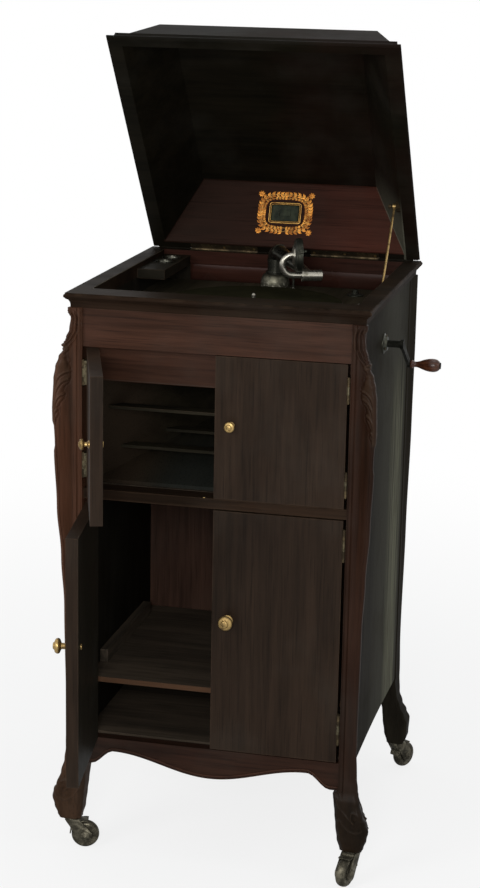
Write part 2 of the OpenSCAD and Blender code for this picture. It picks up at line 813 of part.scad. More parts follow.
// Left-hand door, closed
module door(z0, z1, knob_z)
  difference() {
    block([-door_edge, front, z0], [-meeting_gap, front + door_t, z1]);
    translate([-meeting_gap - knob_inset, front - 1, knob_z])
      rotate([-90, 0, 0]) cylinder(h = door_t + 2, r = knob_shank_r);
  }

module knob(d, l) rotate([90, 0, 0]) {
  rotate_extrude()
    polygon(concat(
      [[0, 0], [d * 0.36, 0], [d * 0.36, l * 0.08], [d * 0.2, l * 0.2], [d * 0.2, l * 0.45]],
      [for (a = [-40 : 20 : 60]) [d * (0.32 + 0.18 * cos(a)), l * (0.7 + 0.2 * sin(a))]],
      [[d * 0.3, l * 0.9], [d * 0.24, l * 0.9], [d * 0.2, l], [0, l]]));
}

module door_fittings(z, d, l, hinges, hinge_h) {
  translate([-meeting_gap - knob_inset, front, z]) {
    knob(d, l);
    rotate([-90, 0, 0]) cylinder(h = door_t, r = knob_shank_r);
    translate([0, door_t, 0]) rotate([-90, 0, 0]) cylinder(h = 1.5, r = 5);
  }
  for (h = hinges) translate([-door_axis[0], door_axis[1], h]) moving_leaf(hinge_h);
}

module upper_door() door(upper_door_z, upper_door_top, upper_door_top - upper_knob_drop);
module lower_door() door(lower_door_z, lower_door_top, lower_door_top - lower_knob_drop);
module upper_fittings()
  door_fittings(upper_door_top - upper_knob_drop, upper_knob_d, upper_knob_l, upper_hinges, upper_hinge_h);
module lower_fittings()
  door_fittings(lower_door_top - lower_knob_drop, lower_knob_d, lower_knob_l, lower_hinges, lower_hinge_h);

module upper_left_door() color(door_wood) left_pose(upper_left_open) upper_door();
module upper_right_door() color(door_wood) mirror([1, 0, 0]) upper_door();
module lower_left_door() color(door_wood) left_pose(lower_left_open) lower_door();
module lower_right_door() color(door_wood) mirror([1, 0, 0]) lower_door();
module upper_left_fittings() color(brass) left_pose(upper_left_open) upper_fittings();
module upper_right_fittings() color(brass) mirror([1, 0, 0]) upper_fittings();
module lower_left_fittings() color(brass) left_pose(lower_left_open) lower_fittings();
module lower_right_fittings() color(brass) mirror([1, 0, 0]) lower_fittings();

// ---- Turntable and motor ----
module platter() color(nickel)
  translate([spin[0], spin[1], platter_z])
    difference() {
      rotate_extrude()
        polygon([[0, 0], [16, 0], [20, platter_t - 3], [platter_r - 6, platter_t - 3], [platter_r - 4, 0],
          [platter_r - 1, 0], [platter_r, 1], [platter_r, platter_t - 1], [platter_r - 1, platter_t],
          [0, platter_t]]);
      translate([0, 0, -1]) cylinder(h = platter_t + 2, r = shaft_r_low);
    }

module platter_felt() color(felt_green)
  translate([spin[0], spin[1], platter_z + platter_t])
    difference() {
      cylinder(h = felt_t, r = platter_r - 1.5);
      translate([0, 0, -1]) cylinder(h = felt_t + 2, r = shaft_r_low + 1);
    }

module toothed(r, n, h, tooth)
  linear_extrude(h)
    polygon([for (i = [0 : 4 * n - 1])
      let (a = 90 * (i - 0.5) / n, q = i % 4, rr = q < 2 ? r : r - tooth) [rr * cos(a), rr * sin(a)]]);

module spindle() color(nickel)
  translate([spin[0], spin[1], 0]) {
    translate([0, 0, motor_bottom + seat]) cylinder(h = felt_top - motor_bottom - seat, r = shaft_r_low);
    translate([0, 0, felt_top]) cylinder(h = spindle_h - spindle_tip, r = spindle_r);
    translate([0, 0, felt_top + spindle_h - spindle_tip])
      cylinder(h = spindle_tip, r1 = spindle_r, r2 = spindle_r - 2);
    translate([0, 0, platter_z - 2]) cylinder(h = 2, r = 8);
    translate([0, 0, motor_bottom + plate_t + 8]) toothed(pinion_r, 14, 8, 1.6);
    translate([0, 0, governor_z - 3]) toothed(governor_gear_r, 44, 6, 1.6);
  }

module spring_barrel() color(iron)
  translate([barrel[0], barrel[1], 0])
    difference() {
      union() {
        translate([0, 0, motor_bottom + plate_t + 17])
          cylinder(h = gear_top - gear_t - seat - motor_bottom - plate_t - 17, r = barrel_r);
        translate([0, 0, motor_bottom + plate_t + 8]) toothed(barrel_gear_r, 76, 9, 1.6);
        translate([0, 0, motor_bottom + plate_t + seat]) cylinder(h = 9, r = 9);
      }
      cylinder(h = top_z, r = arbor_r + play);
    }

module winding_gear() color(iron)
  translate([barrel[0], barrel[1], 0]) {
    translate([0, 0, gear_top - gear_t]) toothed(gear_r, 60, gear_t, 1.6);
    translate([0, 0, motor_bottom]) cylinder(h = motor_top + plate_t - motor_bottom - seat, r = arbor_r);
  }

module governor() color(brass) {
  translate([governor_x, governor_ends[0] + 2 + seat, governor_z])
    rotate([-90, 0, 0]) {
      cylinder(h = governor_ends[1] - governor_ends[0] + 4 - 2 * seat, r = 1.5);
      translate([0, 0, 8]) cylinder(h = 32, r = 3.2);
      translate([0, 0, 47]) cylinder(h = 6, r = 6);
      translate([0, 0, 88]) cylinder(h = 6, r = 6);
      translate([0, 0, 94]) cylinder(h = 2.5, r = 15);
      for (a = [0, 120, 240]) rotate([0, 0, a]) {
        translate([5, -3, 49]) cube([1, 6, 43]);
        translate([8, 0, 66]) sphere(r = 6);
      }
    }
}

module motor_frame() color(iron)
  difference() {
    union() {
      for (z = [motor_top, motor_bottom])
        block([plate_from[0], plate_from[1], z], [plate_to[0], plate_to[1], z + plate_t]);
      for (p = pillars) translate([p[0], p[1], motor_bottom]) cylinder(h = motor_top - motor_bottom, r = 6);
      for (y = governor_ends) block([governor_x - 6, y, governor_z - 6], [governor_x + 6, y + 8, motor_top]);
      block([84, -crank_y - 12, crank_z - 12], [94, -crank_y + 12, motor_top]);
      translate([spin[0], spin[1], motor_bottom - 3]) cylinder(h = 4, r = 10);
    }
    translate([spin[0], spin[1], motor_bottom]) cylinder(h = 100, r = shaft_r_low + play);
    translate([barrel[0], barrel[1], motor_bottom - 1]) cylinder(h = 100, r = arbor_r + play);
    translate([governor_x, governor_ends[0] + 2, governor_z])
      rotate([-90, 0, 0]) cylinder(h = governor_ends[1] - governor_ends[0] + 4, r = 1.5 + play);
    translate([80, -crank_y, crank_z]) rotate([0, 90, 0]) cylinder(h = 20, r = shaft_r + play);
  }

// ---- Tone arm ----
// The arm points to -y in its own frame and ends in a cross sleeve that carries the gooseneck
module arm_pose() translate([arm_pivot[0], arm_pivot[1], 0]) rotate([0, 0, arm_turn]) children();
module sleeve_pose()
  arm_pose() translate([0, -arm_l, arm_end_z]) rotate([0, 0, -sleeve_turn]) translate([0, sleeve_past, 0])
    children();
module neck_pose() sleeve_pose() translate([0, -sleeve_l - seat, 0]) children();
module along_sleeve(h, r) rotate([90, 0, 0]) cylinder(h = h, r = r);

module tone_arm() color(nickel) {
  elbow = arm_r + 2;
  stub_z = board_z + bracket_h - 18 + seat;
  difference() {
    union() {
      arm_pose() {
        translate([0, 0, stub_z]) cylinder(h = arm_z - elbow - stub_z, r = arm_r);
        translate([0, 0, board_z + bracket_h + seat]) cylinder(h = 4, r = arm_r + 3);
        translate([0, 0, arm_z - elbow - 2]) cylinder(h = 4, r = arm_r + 0.8);
        translate([0, -elbow, arm_z - elbow])
          rotate([90, 0, 90]) rotate_extrude(angle = 90) translate([elbow, 0]) circle(r = arm_r);
        translate([0, 2 - elbow, arm_z]) along_sleeve(4, arm_r + 0.8);
        translate([0, -elbow, arm_z])
          rotate([90 + arm_slope, 0, 0])
            cylinder(h = norm([arm_l - elbow, arm_fall]), r1 = arm_r, r2 = arm_tip_r - 2.5);
      }
      sleeve_pose() {
        along_sleeve(sleeve_l, arm_tip_r);
        translate([0, 1.2, 0]) along_sleeve(3, arm_tip_r - 1.2);
      }
    }
    sleeve_pose() translate([0, -sleeve_l + 14, 0]) along_sleeve(15, neck_r + play);
  }
}

module gooseneck() color(nickel)
  neck_pose() {
    translate([0, 13, 0]) along_sleeve(neck_leg + 13, neck_r);
    along_sleeve(4, arm_tip_r + 1.2);
    translate([0, -neck_leg, neck_span / 2])
      rotate([90, 0, 90]) rotate([0, 0, 90])
        rotate_extrude(angle = 180) translate([neck_span / 2, 0]) circle(r = neck_r);
    translate([0, -neck_leg + neck_flange, neck_span]) along_sleeve(neck_flange + 0.01, 17);
  }

module box_pose()
  neck_pose() translate([0, -neck_leg + neck_flange, neck_span]) rotate([-90, 0, 0]) children();

module sound_box() color(nickel)
  box_pose()
    difference() {
      rotate_extrude()
        polygon([[0, 0], [sound_box_r - 5, 0], [sound_box_r - 1, 2], [sound_box_r - 1, 3.5],
          [sound_box_r, 4.5], [sound_box_r, sound_box_t - 1], [sound_box_r - 1, sound_box_t],
          [0, sound_box_t]]);
      translate([0, 0, sound_box_t - 3]) cylinder(h = 4, r = sound_box_r - 4);
      rotate([0, 0, needle_turn])
        block([0, -1.6, sound_box_t - 2.4], [sound_box_r + 1, 1.6, sound_box_t + 1]);
    }

// Stylus bar across the face, chuck and needle at the rim, thumb screw beside the chuck
module needle_clamp() color(nickel)
  box_pose() rotate([0, 0, needle_turn]) {
    translate([0, 0, sound_box_t - 3]) cylinder(h = 2.2, r = 3);
    block([-1.2, -1.2, sound_box_t - 2], [sound_box_r + 1, 1.2, sound_box_t - 0.2]);
    block([sound_box_r + seat, -3, sound_box_t - 6], [sound_box_r + 5, 3, sound_box_t]);
    translate([sound_box_r + 4, 0, sound_box_t - 3]) rotate([0, 90, 0]) cylinder(h = 6, r1 = 0.9, r2 = 0.3);
    translate([sound_box_r + 2.6, 0, sound_box_t]) cylinder(h = 3, r = 1.6);
    translate([sound_box_r + 2.6, 0, sound_box_t + 3]) sphere(r = 2.6);
  }

// ---- Controls on the motor board ----
module brake_lever() color(nickel)
  translate([brake[0], brake[1], board_z]) rotate([0, 0, -45]) {
    translate([0, 0, -8 + seat]) cylinder(h = 16 - seat, r = brake_pin_r);
    translate([0, 0, 1]) cylinder(h = 3, r = 6);
    translate([0, 0, 4]) {
      block([0, -4, 0], [30, 4, 3]);
      translate([30, 0, 0]) cylinder(h = 6, r = 4);
      block([-22, -3, 0], [0, 3, 3]);
      translate([-22, 0, 0]) cylinder(h = 8, r = 4);
    }
  }

module speed_control() color(nickel)
  translate([speed[0], speed[1], board_z]) {
    translate([0, 0, -8 + seat]) cylinder(h = 10, r = speed_pin_r);
    translate([0, 0, seat])
      rotate_extrude() polygon([[0, 0], [15, 0], [15, 1.5], [13, 3], [8, 3.4], [0, 3.4]]);
    translate([0, 0, 3]) cylinder(h = 6, r = 6);
    translate([0, 0, 7]) sphere(r = 5);
  }

// ---- Crank ----
crank_bar = 5;
grip_l = 44;
grip_start = 6;
grip_pin_r = 3;

module crank_escutcheon() color(brass)
  translate([side_in, -crank_y, crank_z]) rotate([0, 90, 0])
    difference() {
      union() {
        cylinder(h = panel_t, r = tube_r);
        translate([0, 0, panel_t])
          rotate_extrude() polygon([[0, 0], [17, 0], [17, 1.5], [13, 3.5], [11, 7], [0, 7]]);
      }
      translate([0, 0, -1]) cylinder(h = panel_t + 10, r = shaft_r + play);
    }

module crank_pose() translate([crank_x, -crank_y, crank_z]) rotate([-crank_slope, 0, 0]) children();

module crank() color(iron)
  crank_pose() {
    translate([0, crank_l, 0]) rotate([0, 90, 0]) cylinder(h = grip_start + grip_l + 2, r = grip_pin_r);
    translate([grip_start + grip_l + seat, crank_l, 0]) rotate([0, 90, 0]) cylinder(h = 2, r = 5.5);
    for (y = [0, crank_l])
      translate([-crank_bar, y, 0]) rotate([0, 90, 0]) cylinder(h = crank_bar, r = y == 0 ? 8.5 : 6.5);
    run_x(-crank_bar, 0) polygon([[0, -6], [crank_l, -4.5], [crank_l, 4.5], [0, 6]]);
    translate([barrel[0] + 20 - crank_x, 0, 0]) rotate([0, 90, 0]) {
      cylinder(h = crank_x - barrel[0] - 20, r = shaft_r);
      toothed(bevel_r, 18, 11, 1.4);
    }
  }

module crank_grip() color("#6a3020")
  crank_pose() translate([0, crank_l, 0]) rotate([0, 90, 0])
    difference() {
      translate([0, 0, seat])
        rotate_extrude()
          polygon(concat(
            [[0, 0], [8, 0], [8, 5], [6.5, 7], [8.4, 9], [6.6, 11]],
            [for (a = [-50 : 12.5 : 75]) [4 + 7.5 * cos(a), 30 + 19 * sin(a) * (a < 0 ? 1.25 : 1)]],
            [[0, grip_l + grip_start - seat]]));
      translate([0, 0, -1]) cylinder(h = grip_l + 20, r = grip_pin_r + play);
    }

// ---- Casters ----
module at_caster(i) translate([casters[i][0], casters[i][1], 0]) rotate([0, 0, casters[i][2]]) children();

module caster_sockets() color(iron)
  for (i = [0 : 3])
    translate([casters[i][0], casters[i][1], 0])
      difference() {
        union() {
          translate([0, 0, foot_z - plate_under]) cylinder(h = plate_under, r = 13);
          translate([0, 0, foot_z - plate_under]) cylinder(h = socket_l + plate_under, r = socket_r);
        }
        translate([0, 0, foot_z - plate_under - 1]) cylinder(h = stem_l + 3 + seat, r = stem_r + play);
      }

fork_top = foot_z - plate_under - seat;
cheek_in = wheel_w / 2 + 0.6;

cheek_out = cheek_in + fork_t;
hood_in = wheel_r + 1.2;
hood_out = hood_in + 2.2;

module cheek_outline() {
  polygon([[-11, fork_top - 0.8], [13, fork_top - 0.8],
    [trail + 11.5, wheel_r + 5], [trail - 10, wheel_r - 8]]);
  translate([trail, wheel_r]) circle(r = 13);
}

// Hood over the top and back of the wheel
module hood_outline()
  difference() {
    intersection() {
      translate([trail, wheel_r]) circle(r = hood_out);
      polygon([[-12, fork_top], [trail + 14, fork_top], [trail + 4, wheel_r], [-12, wheel_r - 4]]);
    }
    translate([trail, wheel_r]) circle(r = hood_in);
  }

module fork(i) color(iron)
  at_caster(i) {
    translate([0, 0, fork_top]) cylinder(h = stem_l, r = stem_r);
    translate([0, 0, fork_top - fork_t]) cylinder(h = fork_t, r = 12.5);
    for (s = [-1, 1])
      translate([0, s > 0 ? cheek_in : -cheek_out, 0]) run_y(0, fork_t) cheek_outline();
    run_y(-cheek_in - 1.5, cheek_in + 1.5) hood_outline();
    block([-10.5, -cheek_in - 2, fork_top - fork_t + 0.3], [12, cheek_in + 2, fork_top - 1.2]);
    for (s = [-1, 1])
      translate([trail, s * (cheek_out - 0.5), wheel_r])
        rotate([-90 * s, 0, 0]) cylinder(h = 3, r1 = 8.5, r2 = 4.5);
    translate([trail, -cheek_out - 1, wheel_r])
      rotate([-90, 0, 0]) cylinder(h = 2 * (cheek_out + 1), r = axle_r);
  }

module wheel(i) color(iron)
  at_caster(i) translate([trail, 0, wheel_r]) rotate([90, 0, 0])
    difference() {
      rotate_extrude()
        polygon(concat(
          [[0, -wheel_w / 2], [9, -wheel_w / 2], [10, 1.5 - wheel_w / 2]],
          [for (a = [-80 : 20 : 80]) [wheel_r - 6 + 6 * cos(a), (wheel_w / 2 - 0.6) * sin(a)]],
          [[10, wheel_w / 2 - 1.5], [9, wheel_w / 2], [0, wheel_w / 2]]));
      translate([0, 0, -wheel_w]) cylinder(h = 2 * wheel_w, r = axle_r + play);
    }

module front_left_fork() fork(0);
module front_right_fork() fork(1);
module rear_left_fork() fork(2);
module rear_right_fork() fork(3);
module front_left_wheel() wheel(0);
module front_right_wheel() wheel(1);
module rear_left_wheel() wheel(2);
module rear_right_wheel() wheel(3);

front_posts();
rear_posts();
side_panels();
back_panel();
front_frieze();
mid_rail();
front_apron();
top_moulding();
motor_board();
horn_floor();
cabinet_floor();
inner_back();
record_shelf();
shelf_battens();
sound_horn();
horn_louvres();
horn_elbow();
needle_tray();
needle_cups();
tone_arm_bracket();
hinge_leaves();
stay_guide();
crank_escutcheon();
caster_sockets();
motor_frame();
arm_post();
lid_frame();
lid_dome();
lid_fittings();
stay_rod();
upper_left_door();
upper_right_door();
lower_left_door();
lower_right_door();
upper_left_fittings();
upper_right_fittings();
lower_left_fittings();
lower_right_fittings();
platter();
platter_felt();
spindle();
spring_barrel();
winding_gear();
governor();
tone_arm();
gooseneck();
sound_box();
needle_clamp();
brake_lever();
speed_control();
crank();
crank_grip();
front_left_fork();
front_right_fork();
rear_left_fork();
rear_right_fork();
front_left_wheel();
front_right_wheel();
rear_left_wheel();
rear_right_wheel();
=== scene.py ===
import math
import bpy
import numpy as np
from mathutils import Matrix, Vector


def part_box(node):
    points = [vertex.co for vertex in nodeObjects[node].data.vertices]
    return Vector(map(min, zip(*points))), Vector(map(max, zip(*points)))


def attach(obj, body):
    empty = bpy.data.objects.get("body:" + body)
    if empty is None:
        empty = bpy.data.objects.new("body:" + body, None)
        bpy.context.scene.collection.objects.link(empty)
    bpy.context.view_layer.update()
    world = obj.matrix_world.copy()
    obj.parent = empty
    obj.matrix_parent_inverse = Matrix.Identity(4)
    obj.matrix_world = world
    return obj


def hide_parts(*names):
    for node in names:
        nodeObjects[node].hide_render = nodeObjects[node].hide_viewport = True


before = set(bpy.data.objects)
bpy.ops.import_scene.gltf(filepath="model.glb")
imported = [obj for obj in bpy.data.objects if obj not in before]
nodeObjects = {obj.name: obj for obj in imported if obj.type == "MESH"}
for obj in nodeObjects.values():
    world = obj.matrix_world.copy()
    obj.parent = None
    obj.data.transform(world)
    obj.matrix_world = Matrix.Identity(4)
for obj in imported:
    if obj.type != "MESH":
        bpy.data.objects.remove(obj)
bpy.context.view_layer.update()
mm = 0.001

# Camera at the photograph's place; the focal length is in photograph pixels, the angles in degrees
camera = {"place": (0.7857, -3.3982, 1.5631), "yaw": 13.284, "pitch": -14.236, "roll": 1.052,
          "focalPx": 2069.14, "photoHeight": 888}


def buildCamera():
    # forward, right and up follow from yaw (towards -X), pitch and roll
    y, p, r = (math.radians(camera[k]) for k in ("yaw", "pitch", "roll"))
    forward = Vector((-math.sin(y) * math.cos(p), math.cos(y) * math.cos(p), math.sin(p)))
    flat = Vector((math.cos(y), math.sin(y), 0))
    over = flat.cross(forward)
    right = math.cos(r) * flat + math.sin(r) * over
    up = -math.sin(r) * flat + math.cos(r) * over
    data = bpy.data.cameras.new("camera")
    data.sensor_width = 36
    data.lens = camera["focalPx"] * 36 / camera["photoHeight"]
    data.clip_start = 0.05
    data.clip_end = 60
    obj = bpy.data.objects.new("camera", data)
    turn = Matrix((right, up, -forward)).transposed()
    obj.matrix_world = Matrix.Translation(camera["place"]) @ turn.to_4x4()
    bpy.context.collection.objects.link(obj)
    bpy.context.scene.camera = obj
    bpy.context.scene.view_settings.view_transform = "Standard"


# Short ways to add shader nodes to one tree
class Shade:
    def __init__(self, name, tree=None):
        if tree is None:
            self.material = bpy.data.materials.new(name)
            self.material.use_nodes = True
            tree = self.material.node_tree
        self.tree = tree
        self.tree.nodes.clear()

    def principled(self):
        self.out = self.tree.nodes.new("ShaderNodeOutputMaterial")
        self.bsdf = self.tree.nodes.new("ShaderNodeBsdfPrincipled")
        self.join(self.bsdf.outputs[0], self.out.inputs["Surface"])
        self.place = self.tree.nodes.new("ShaderNodeTexCoord").outputs["Object"]
        return self

    def join(self, a, b):
        self.tree.links.new(a, b)

    def feed(self, value, socket):
        if hasattr(value, "is_linked"):
            self.join(value, socket)
        else:
            socket.default_value = value

    def sum(self, kind, a, b=0.0, c=0.0, clamp=False):
        n = self.tree.nodes.new("ShaderNodeMath")
        n.operation = kind
        n.use_clamp = clamp
        self.feed(a, n.inputs[0])
        self.feed(b, n.inputs[1])
        self.feed(c, n.inputs[2])
        return n.outputs[0]

    def moved(self, scale=(1, 1, 1), turn=(0, 0, 0), shift=(0, 0, 0), source=None):
        n = self.tree.nodes.new("ShaderNodeMapping")
        n.inputs["Scale"].default_value = scale
        n.inputs["Rotation"].default_value = turn
        n.inputs["Location"].default_value = shift
        self.join(source or self.place, n.inputs["Vector"])
        return n.outputs[0]

    def noise(self, where, scale, detail=3.0, rough=0.55, warp=0.0):
        n = self.tree.nodes.new("ShaderNodeTexNoise")
        n.inputs["Scale"].default_value = scale
        n.inputs["Detail"].default_value = detail
        n.inputs["Roughness"].default_value = rough
        n.inputs["Distortion"].default_value = warp
        self.join(where, n.inputs["Vector"])
        return n.outputs["Fac"]

    def span(self, value, a, b, low=0.0, high=1.0, smooth=True):
        n = self.tree.nodes.new("ShaderNodeMapRange")
        n.interpolation_type = "SMOOTHSTEP" if smooth else "LINEAR"
        self.join(value, n.inputs["Value"])
        n.inputs["From Min"].default_value = a
        n.inputs["From Max"].default_value = b
        n.inputs["To Min"].default_value = low
        n.inputs["To Max"].default_value = high
        return n.outputs["Result"]

    def blendColour(self, share, a, b, kind="MIX"):
        n = self.tree.nodes.new("ShaderNodeMix")
        n.data_type = "RGBA"
        n.blend_type = kind
        n.clamp_factor = True
        self.feed(share, n.inputs[0])
        for value, socket in ((a, n.inputs[6]), (b, n.inputs[7])):
            if hasattr(value, "is_linked"):
                self.join(value, socket)
            else:
                socket.default_value = (*value, 1)
        return n.outputs[2]

    def bump(self, height, strength, distance, under=None):
        n = self.tree.nodes.new("ShaderNodeBump")
        n.inputs["Strength"].default_value = strength
        n.inputs["Distance"].default_value = distance
        self.join(height, n.inputs["Height"])
        if under is not None:
            self.join(under, n.inputs["Normal"])
        return n.outputs["Normal"]

    def axes(self, source=None):
        n = self.tree.nodes.new("ShaderNodeSeparateXYZ")
        self.join(source or self.place, n.inputs[0])
        return n.outputs

    def attribute(self, name):
        n = self.tree.nodes.new("ShaderNodeAttribute")
        n.attribute_name = name
        return n.outputs["Fac"]

    def mixShader(self, share, a, b):
        n = self.tree.nodes.new("ShaderNodeMixShader")
        self.feed(share, n.inputs[0])
        self.join(a, n.inputs[1])
        self.join(b, n.inputs[2])
        return n.outputs[0]

    def plain(self, kind, colour, strength=None):
        n = self.tree.nodes.new(kind)
        n.inputs["Color"].default_value = (*colour, 1)
        if strength is not None:
            n.inputs["Strength"].default_value = strength
        return n.outputs[0]

    def rays(self):
        return self.tree.nodes.new("ShaderNodeLightPath").outputs


studio = {"ambient": 0.46, "sky": (0.97, 0.99, 1.0), "floorSize": 14.0, "floorColour": (0.86, 0.86, 0.86),
          "floorGlow": (0.80, 1.0), "glowFrom": (0.55, 2.6)}
lamps = [
    # name, place, aim, size, power
    ("keyLamp", (-2.3, -3.7, 2.5), (0, 0, 0.7), 2.0, 52),
    ("fillLamp", (0.55, -3.75, 1.75), (0, 0, 0.6), 0.9, 52),
    ("rightLamp", (3.4, -0.9, 1.9), (0.1, 0, 0.6), 1.8, 8),
    ("topLamp", (0.2, 0.2, 4.2), (0, 0, 0.8), 2.4, 18),
]


def buildWorld():
    # grey light on the object, plain white for what the camera, gloss and glass see
    world = bpy.data.worlds.new("studio")
    bpy.context.scene.world = world
    world.use_nodes = True
    s = Shade("studio", world.node_tree)
    rays = s.rays()
    seen = s.sum("ADD", rays["Is Camera Ray"], rays["Is Glossy Ray"])
    seen = s.sum("ADD", seen, rays["Is Transmission Ray"], clamp=True)
    low = s.plain("ShaderNodeBackground", studio["sky"], studio["ambient"])
    high = s.plain("ShaderNodeBackground", (1, 1, 1), 1.0)
    out = s.tree.nodes.new("ShaderNodeOutputWorld")
    s.join(s.mixShader(seen, low, high), out.inputs["Surface"])


def buildFloor():
    # a white floor that keeps a soft shadow near the cabinet and runs into the background further out
    h = studio["floorSize"] / 2
    mesh = bpy.data.meshes.new("floor")
    mesh.from_pydata([(-h, -h, 0), (h, -h, 0), (h, h, 0), (-h, h, 0)], [], [(0, 1, 2, 3)])
    obj = bpy.data.objects.new("floor", mesh)
    bpy.context.collection.objects.link(obj)
    s = Shade("paleFloor")
    place = s.axes(s.tree.nodes.new("ShaderNodeTexCoord").outputs["Object"])
    far = s.sum("SQRT", s.sum("ADD", s.sum("POWER", place[0], 2.0), s.sum("POWER", place[1], 2.0)))
    glow = s.span(far, *studio["glowFrom"], *studio["floorGlow"])
    share = s.sum("MULTIPLY", s.rays()["Is Camera Ray"], glow)
    lit = s.plain("ShaderNodeBsdfDiffuse", studio["floorColour"])
    white = s.plain("ShaderNodeEmission", (1, 1, 1), 1.0)
    out = s.tree.nodes.new("ShaderNodeOutputMaterial")
    s.join(s.mixShader(share, lit, white), out.inputs["Surface"])
    mesh.materials.append(s.material)


def buildLamps():
    for name, place, aim, size, power in lamps:
        data = bpy.data.lights.new(name, "AREA")
        data.shape = "DISK"
        data.size = size
        data.energy = power
        obj = bpy.data.objects.new(name, data)
        obj.location = place
        obj.rotation_mode = "QUATERNION"
        obj.rotation_quaternion = (Vector(aim) - Vector(place)).to_track_quat("-Z", "Y")
        bpy.context.collection.objects.link(obj)


buildCamera()
buildWorld()
buildFloor()
buildLamps()
print("camera, floor and lamps are in place")


def edgeWear(s, low, high, width, source=None):
    # 1 near an edge of the box and 0 inside its faces: the middle one of the three distances to the faces
    out = s.axes(source)
    near = []
    for i in range(3):
        a = s.sum("SUBTRACT", out[i], low[i])
        b = s.sum("SUBTRACT", high[i], out[i])
        near.append(s.sum("MINIMUM", a, b))
    ab = s.sum("MINIMUM", near[0], near[1])
    cd = s.sum("MINIMUM", s.sum("MAXIMUM", near[0], near[1]), near[2])
    middle = s.sum("MAXIMUM", ab, cd)
    rough = s.noise(s.place, 38, 4, 0.6)
    reach = s.span(rough, 0.3, 0.75, width * 0.15, width)
    return s.sum("SUBTRACT", 1.0, s.sum("DIVIDE", middle, reach, clamp=True), clamp=True)


# The hinge line of the lid and its angle when open; the lid's own axes have their origin on the hinge line
lidHinge = {"y": 0.254, "z": 0.974, "open": 52.5, "slope": 0.61, "rearFoot": 0.018}


def lidToWorld(points):
    # points in the lid's own axes, in mm, to the open lid's place in metres
    p = np.asarray(points, float) * mm
    a = math.radians(-lidHinge["open"])
    y = p[..., 1] * math.cos(a) - p[..., 2] * math.sin(a)
    z = p[..., 1] * math.sin(a) + p[..., 2] * math.cos(a)
    return np.stack([p[..., 0], y + lidHinge["y"], z + lidHinge["z"]], -1)


woods = {
    "postWood": {"dark": (0.020, 0.0085, 0.0046), "light": (0.062, 0.0255, 0.0150), "gloss": 0.42, "shine": 0.07},
    "friezeWood": {"dark": (0.021, 0.0095, 0.0056), "light": (0.064, 0.0275, 0.0165), "gloss": 0.42, "shine": 0.07},
    "topWood": {"dark": (0.0125, 0.0078, 0.0050), "light": (0.037, 0.0210, 0.0130), "gloss": 0.52, "shine": 0.015},
    "doorWood": {"dark": (0.0140, 0.0088, 0.0056), "light": (0.0355, 0.0215, 0.0136), "gloss": 0.46, "shine": 0.06},
    "sideWood": {"dark": (0.0080, 0.0066, 0.0046), "light": (0.018, 0.0150, 0.0105), "gloss": 0.60, "shine": 0.015},
    "innerWood": {"dark": (0.0110, 0.0088, 0.0065), "light": (0.034, 0.0255, 0.0180), "gloss": 0.55, "shine": 0.06},
    "backWood": {"dark": (0.018, 0.0098, 0.0068), "light": (0.048, 0.0250, 0.0170), "gloss": 0.55, "shine": 0.05},
    "lidWood": {"dark": (0.0030, 0.0026, 0.0014), "light": (0.0085, 0.0068, 0.0040), "gloss": 0.55, "shine": 0.03},
    "liningWood": {"dark": (0.022, 0.0085, 0.0058), "light": (0.048, 0.0180, 0.0125), "gloss": 0.30, "shine": 0.12},
    "hornWood": {"dark": (0.0085, 0.0075, 0.0046), "light": (0.024, 0.0195, 0.0120), "gloss": 0.55, "shine": 0.05},
    "wornAndHighlightWood": {"dark": (0.040, 0.032, 0.022), "light": (0.125, 0.105, 0.075), "gloss": 0.40, "shine": 0.20},
}
rubbedTone = (0.058, 0.036, 0.022)


# Tones that belong to one place on a piece. Each function takes the colour so far and returns it with its own
# marks laid over; spans are in metres, and each mark is (share, colour).
lidTones = {"rearBand": 0.003, "innerX": 0.2240, "innerTop": 0.1008, "ruddy": (1.45, 1.2, 1.1),
            "ruddyFrom": (0.0, 0.15), "shade": (0.009, 0.0075, 0.005), "shadeSpan": (-0.16, 0.14, 0.62, 0.0),
            "warm": (0.5, (0.0115, 0.0052, 0.0036)), "flankX": 0.2226, "flankBand": 0.002,
            "flankReach": (0.17, 0.05), "flank": (0.9, (0.094, 0.090, 0.066))}


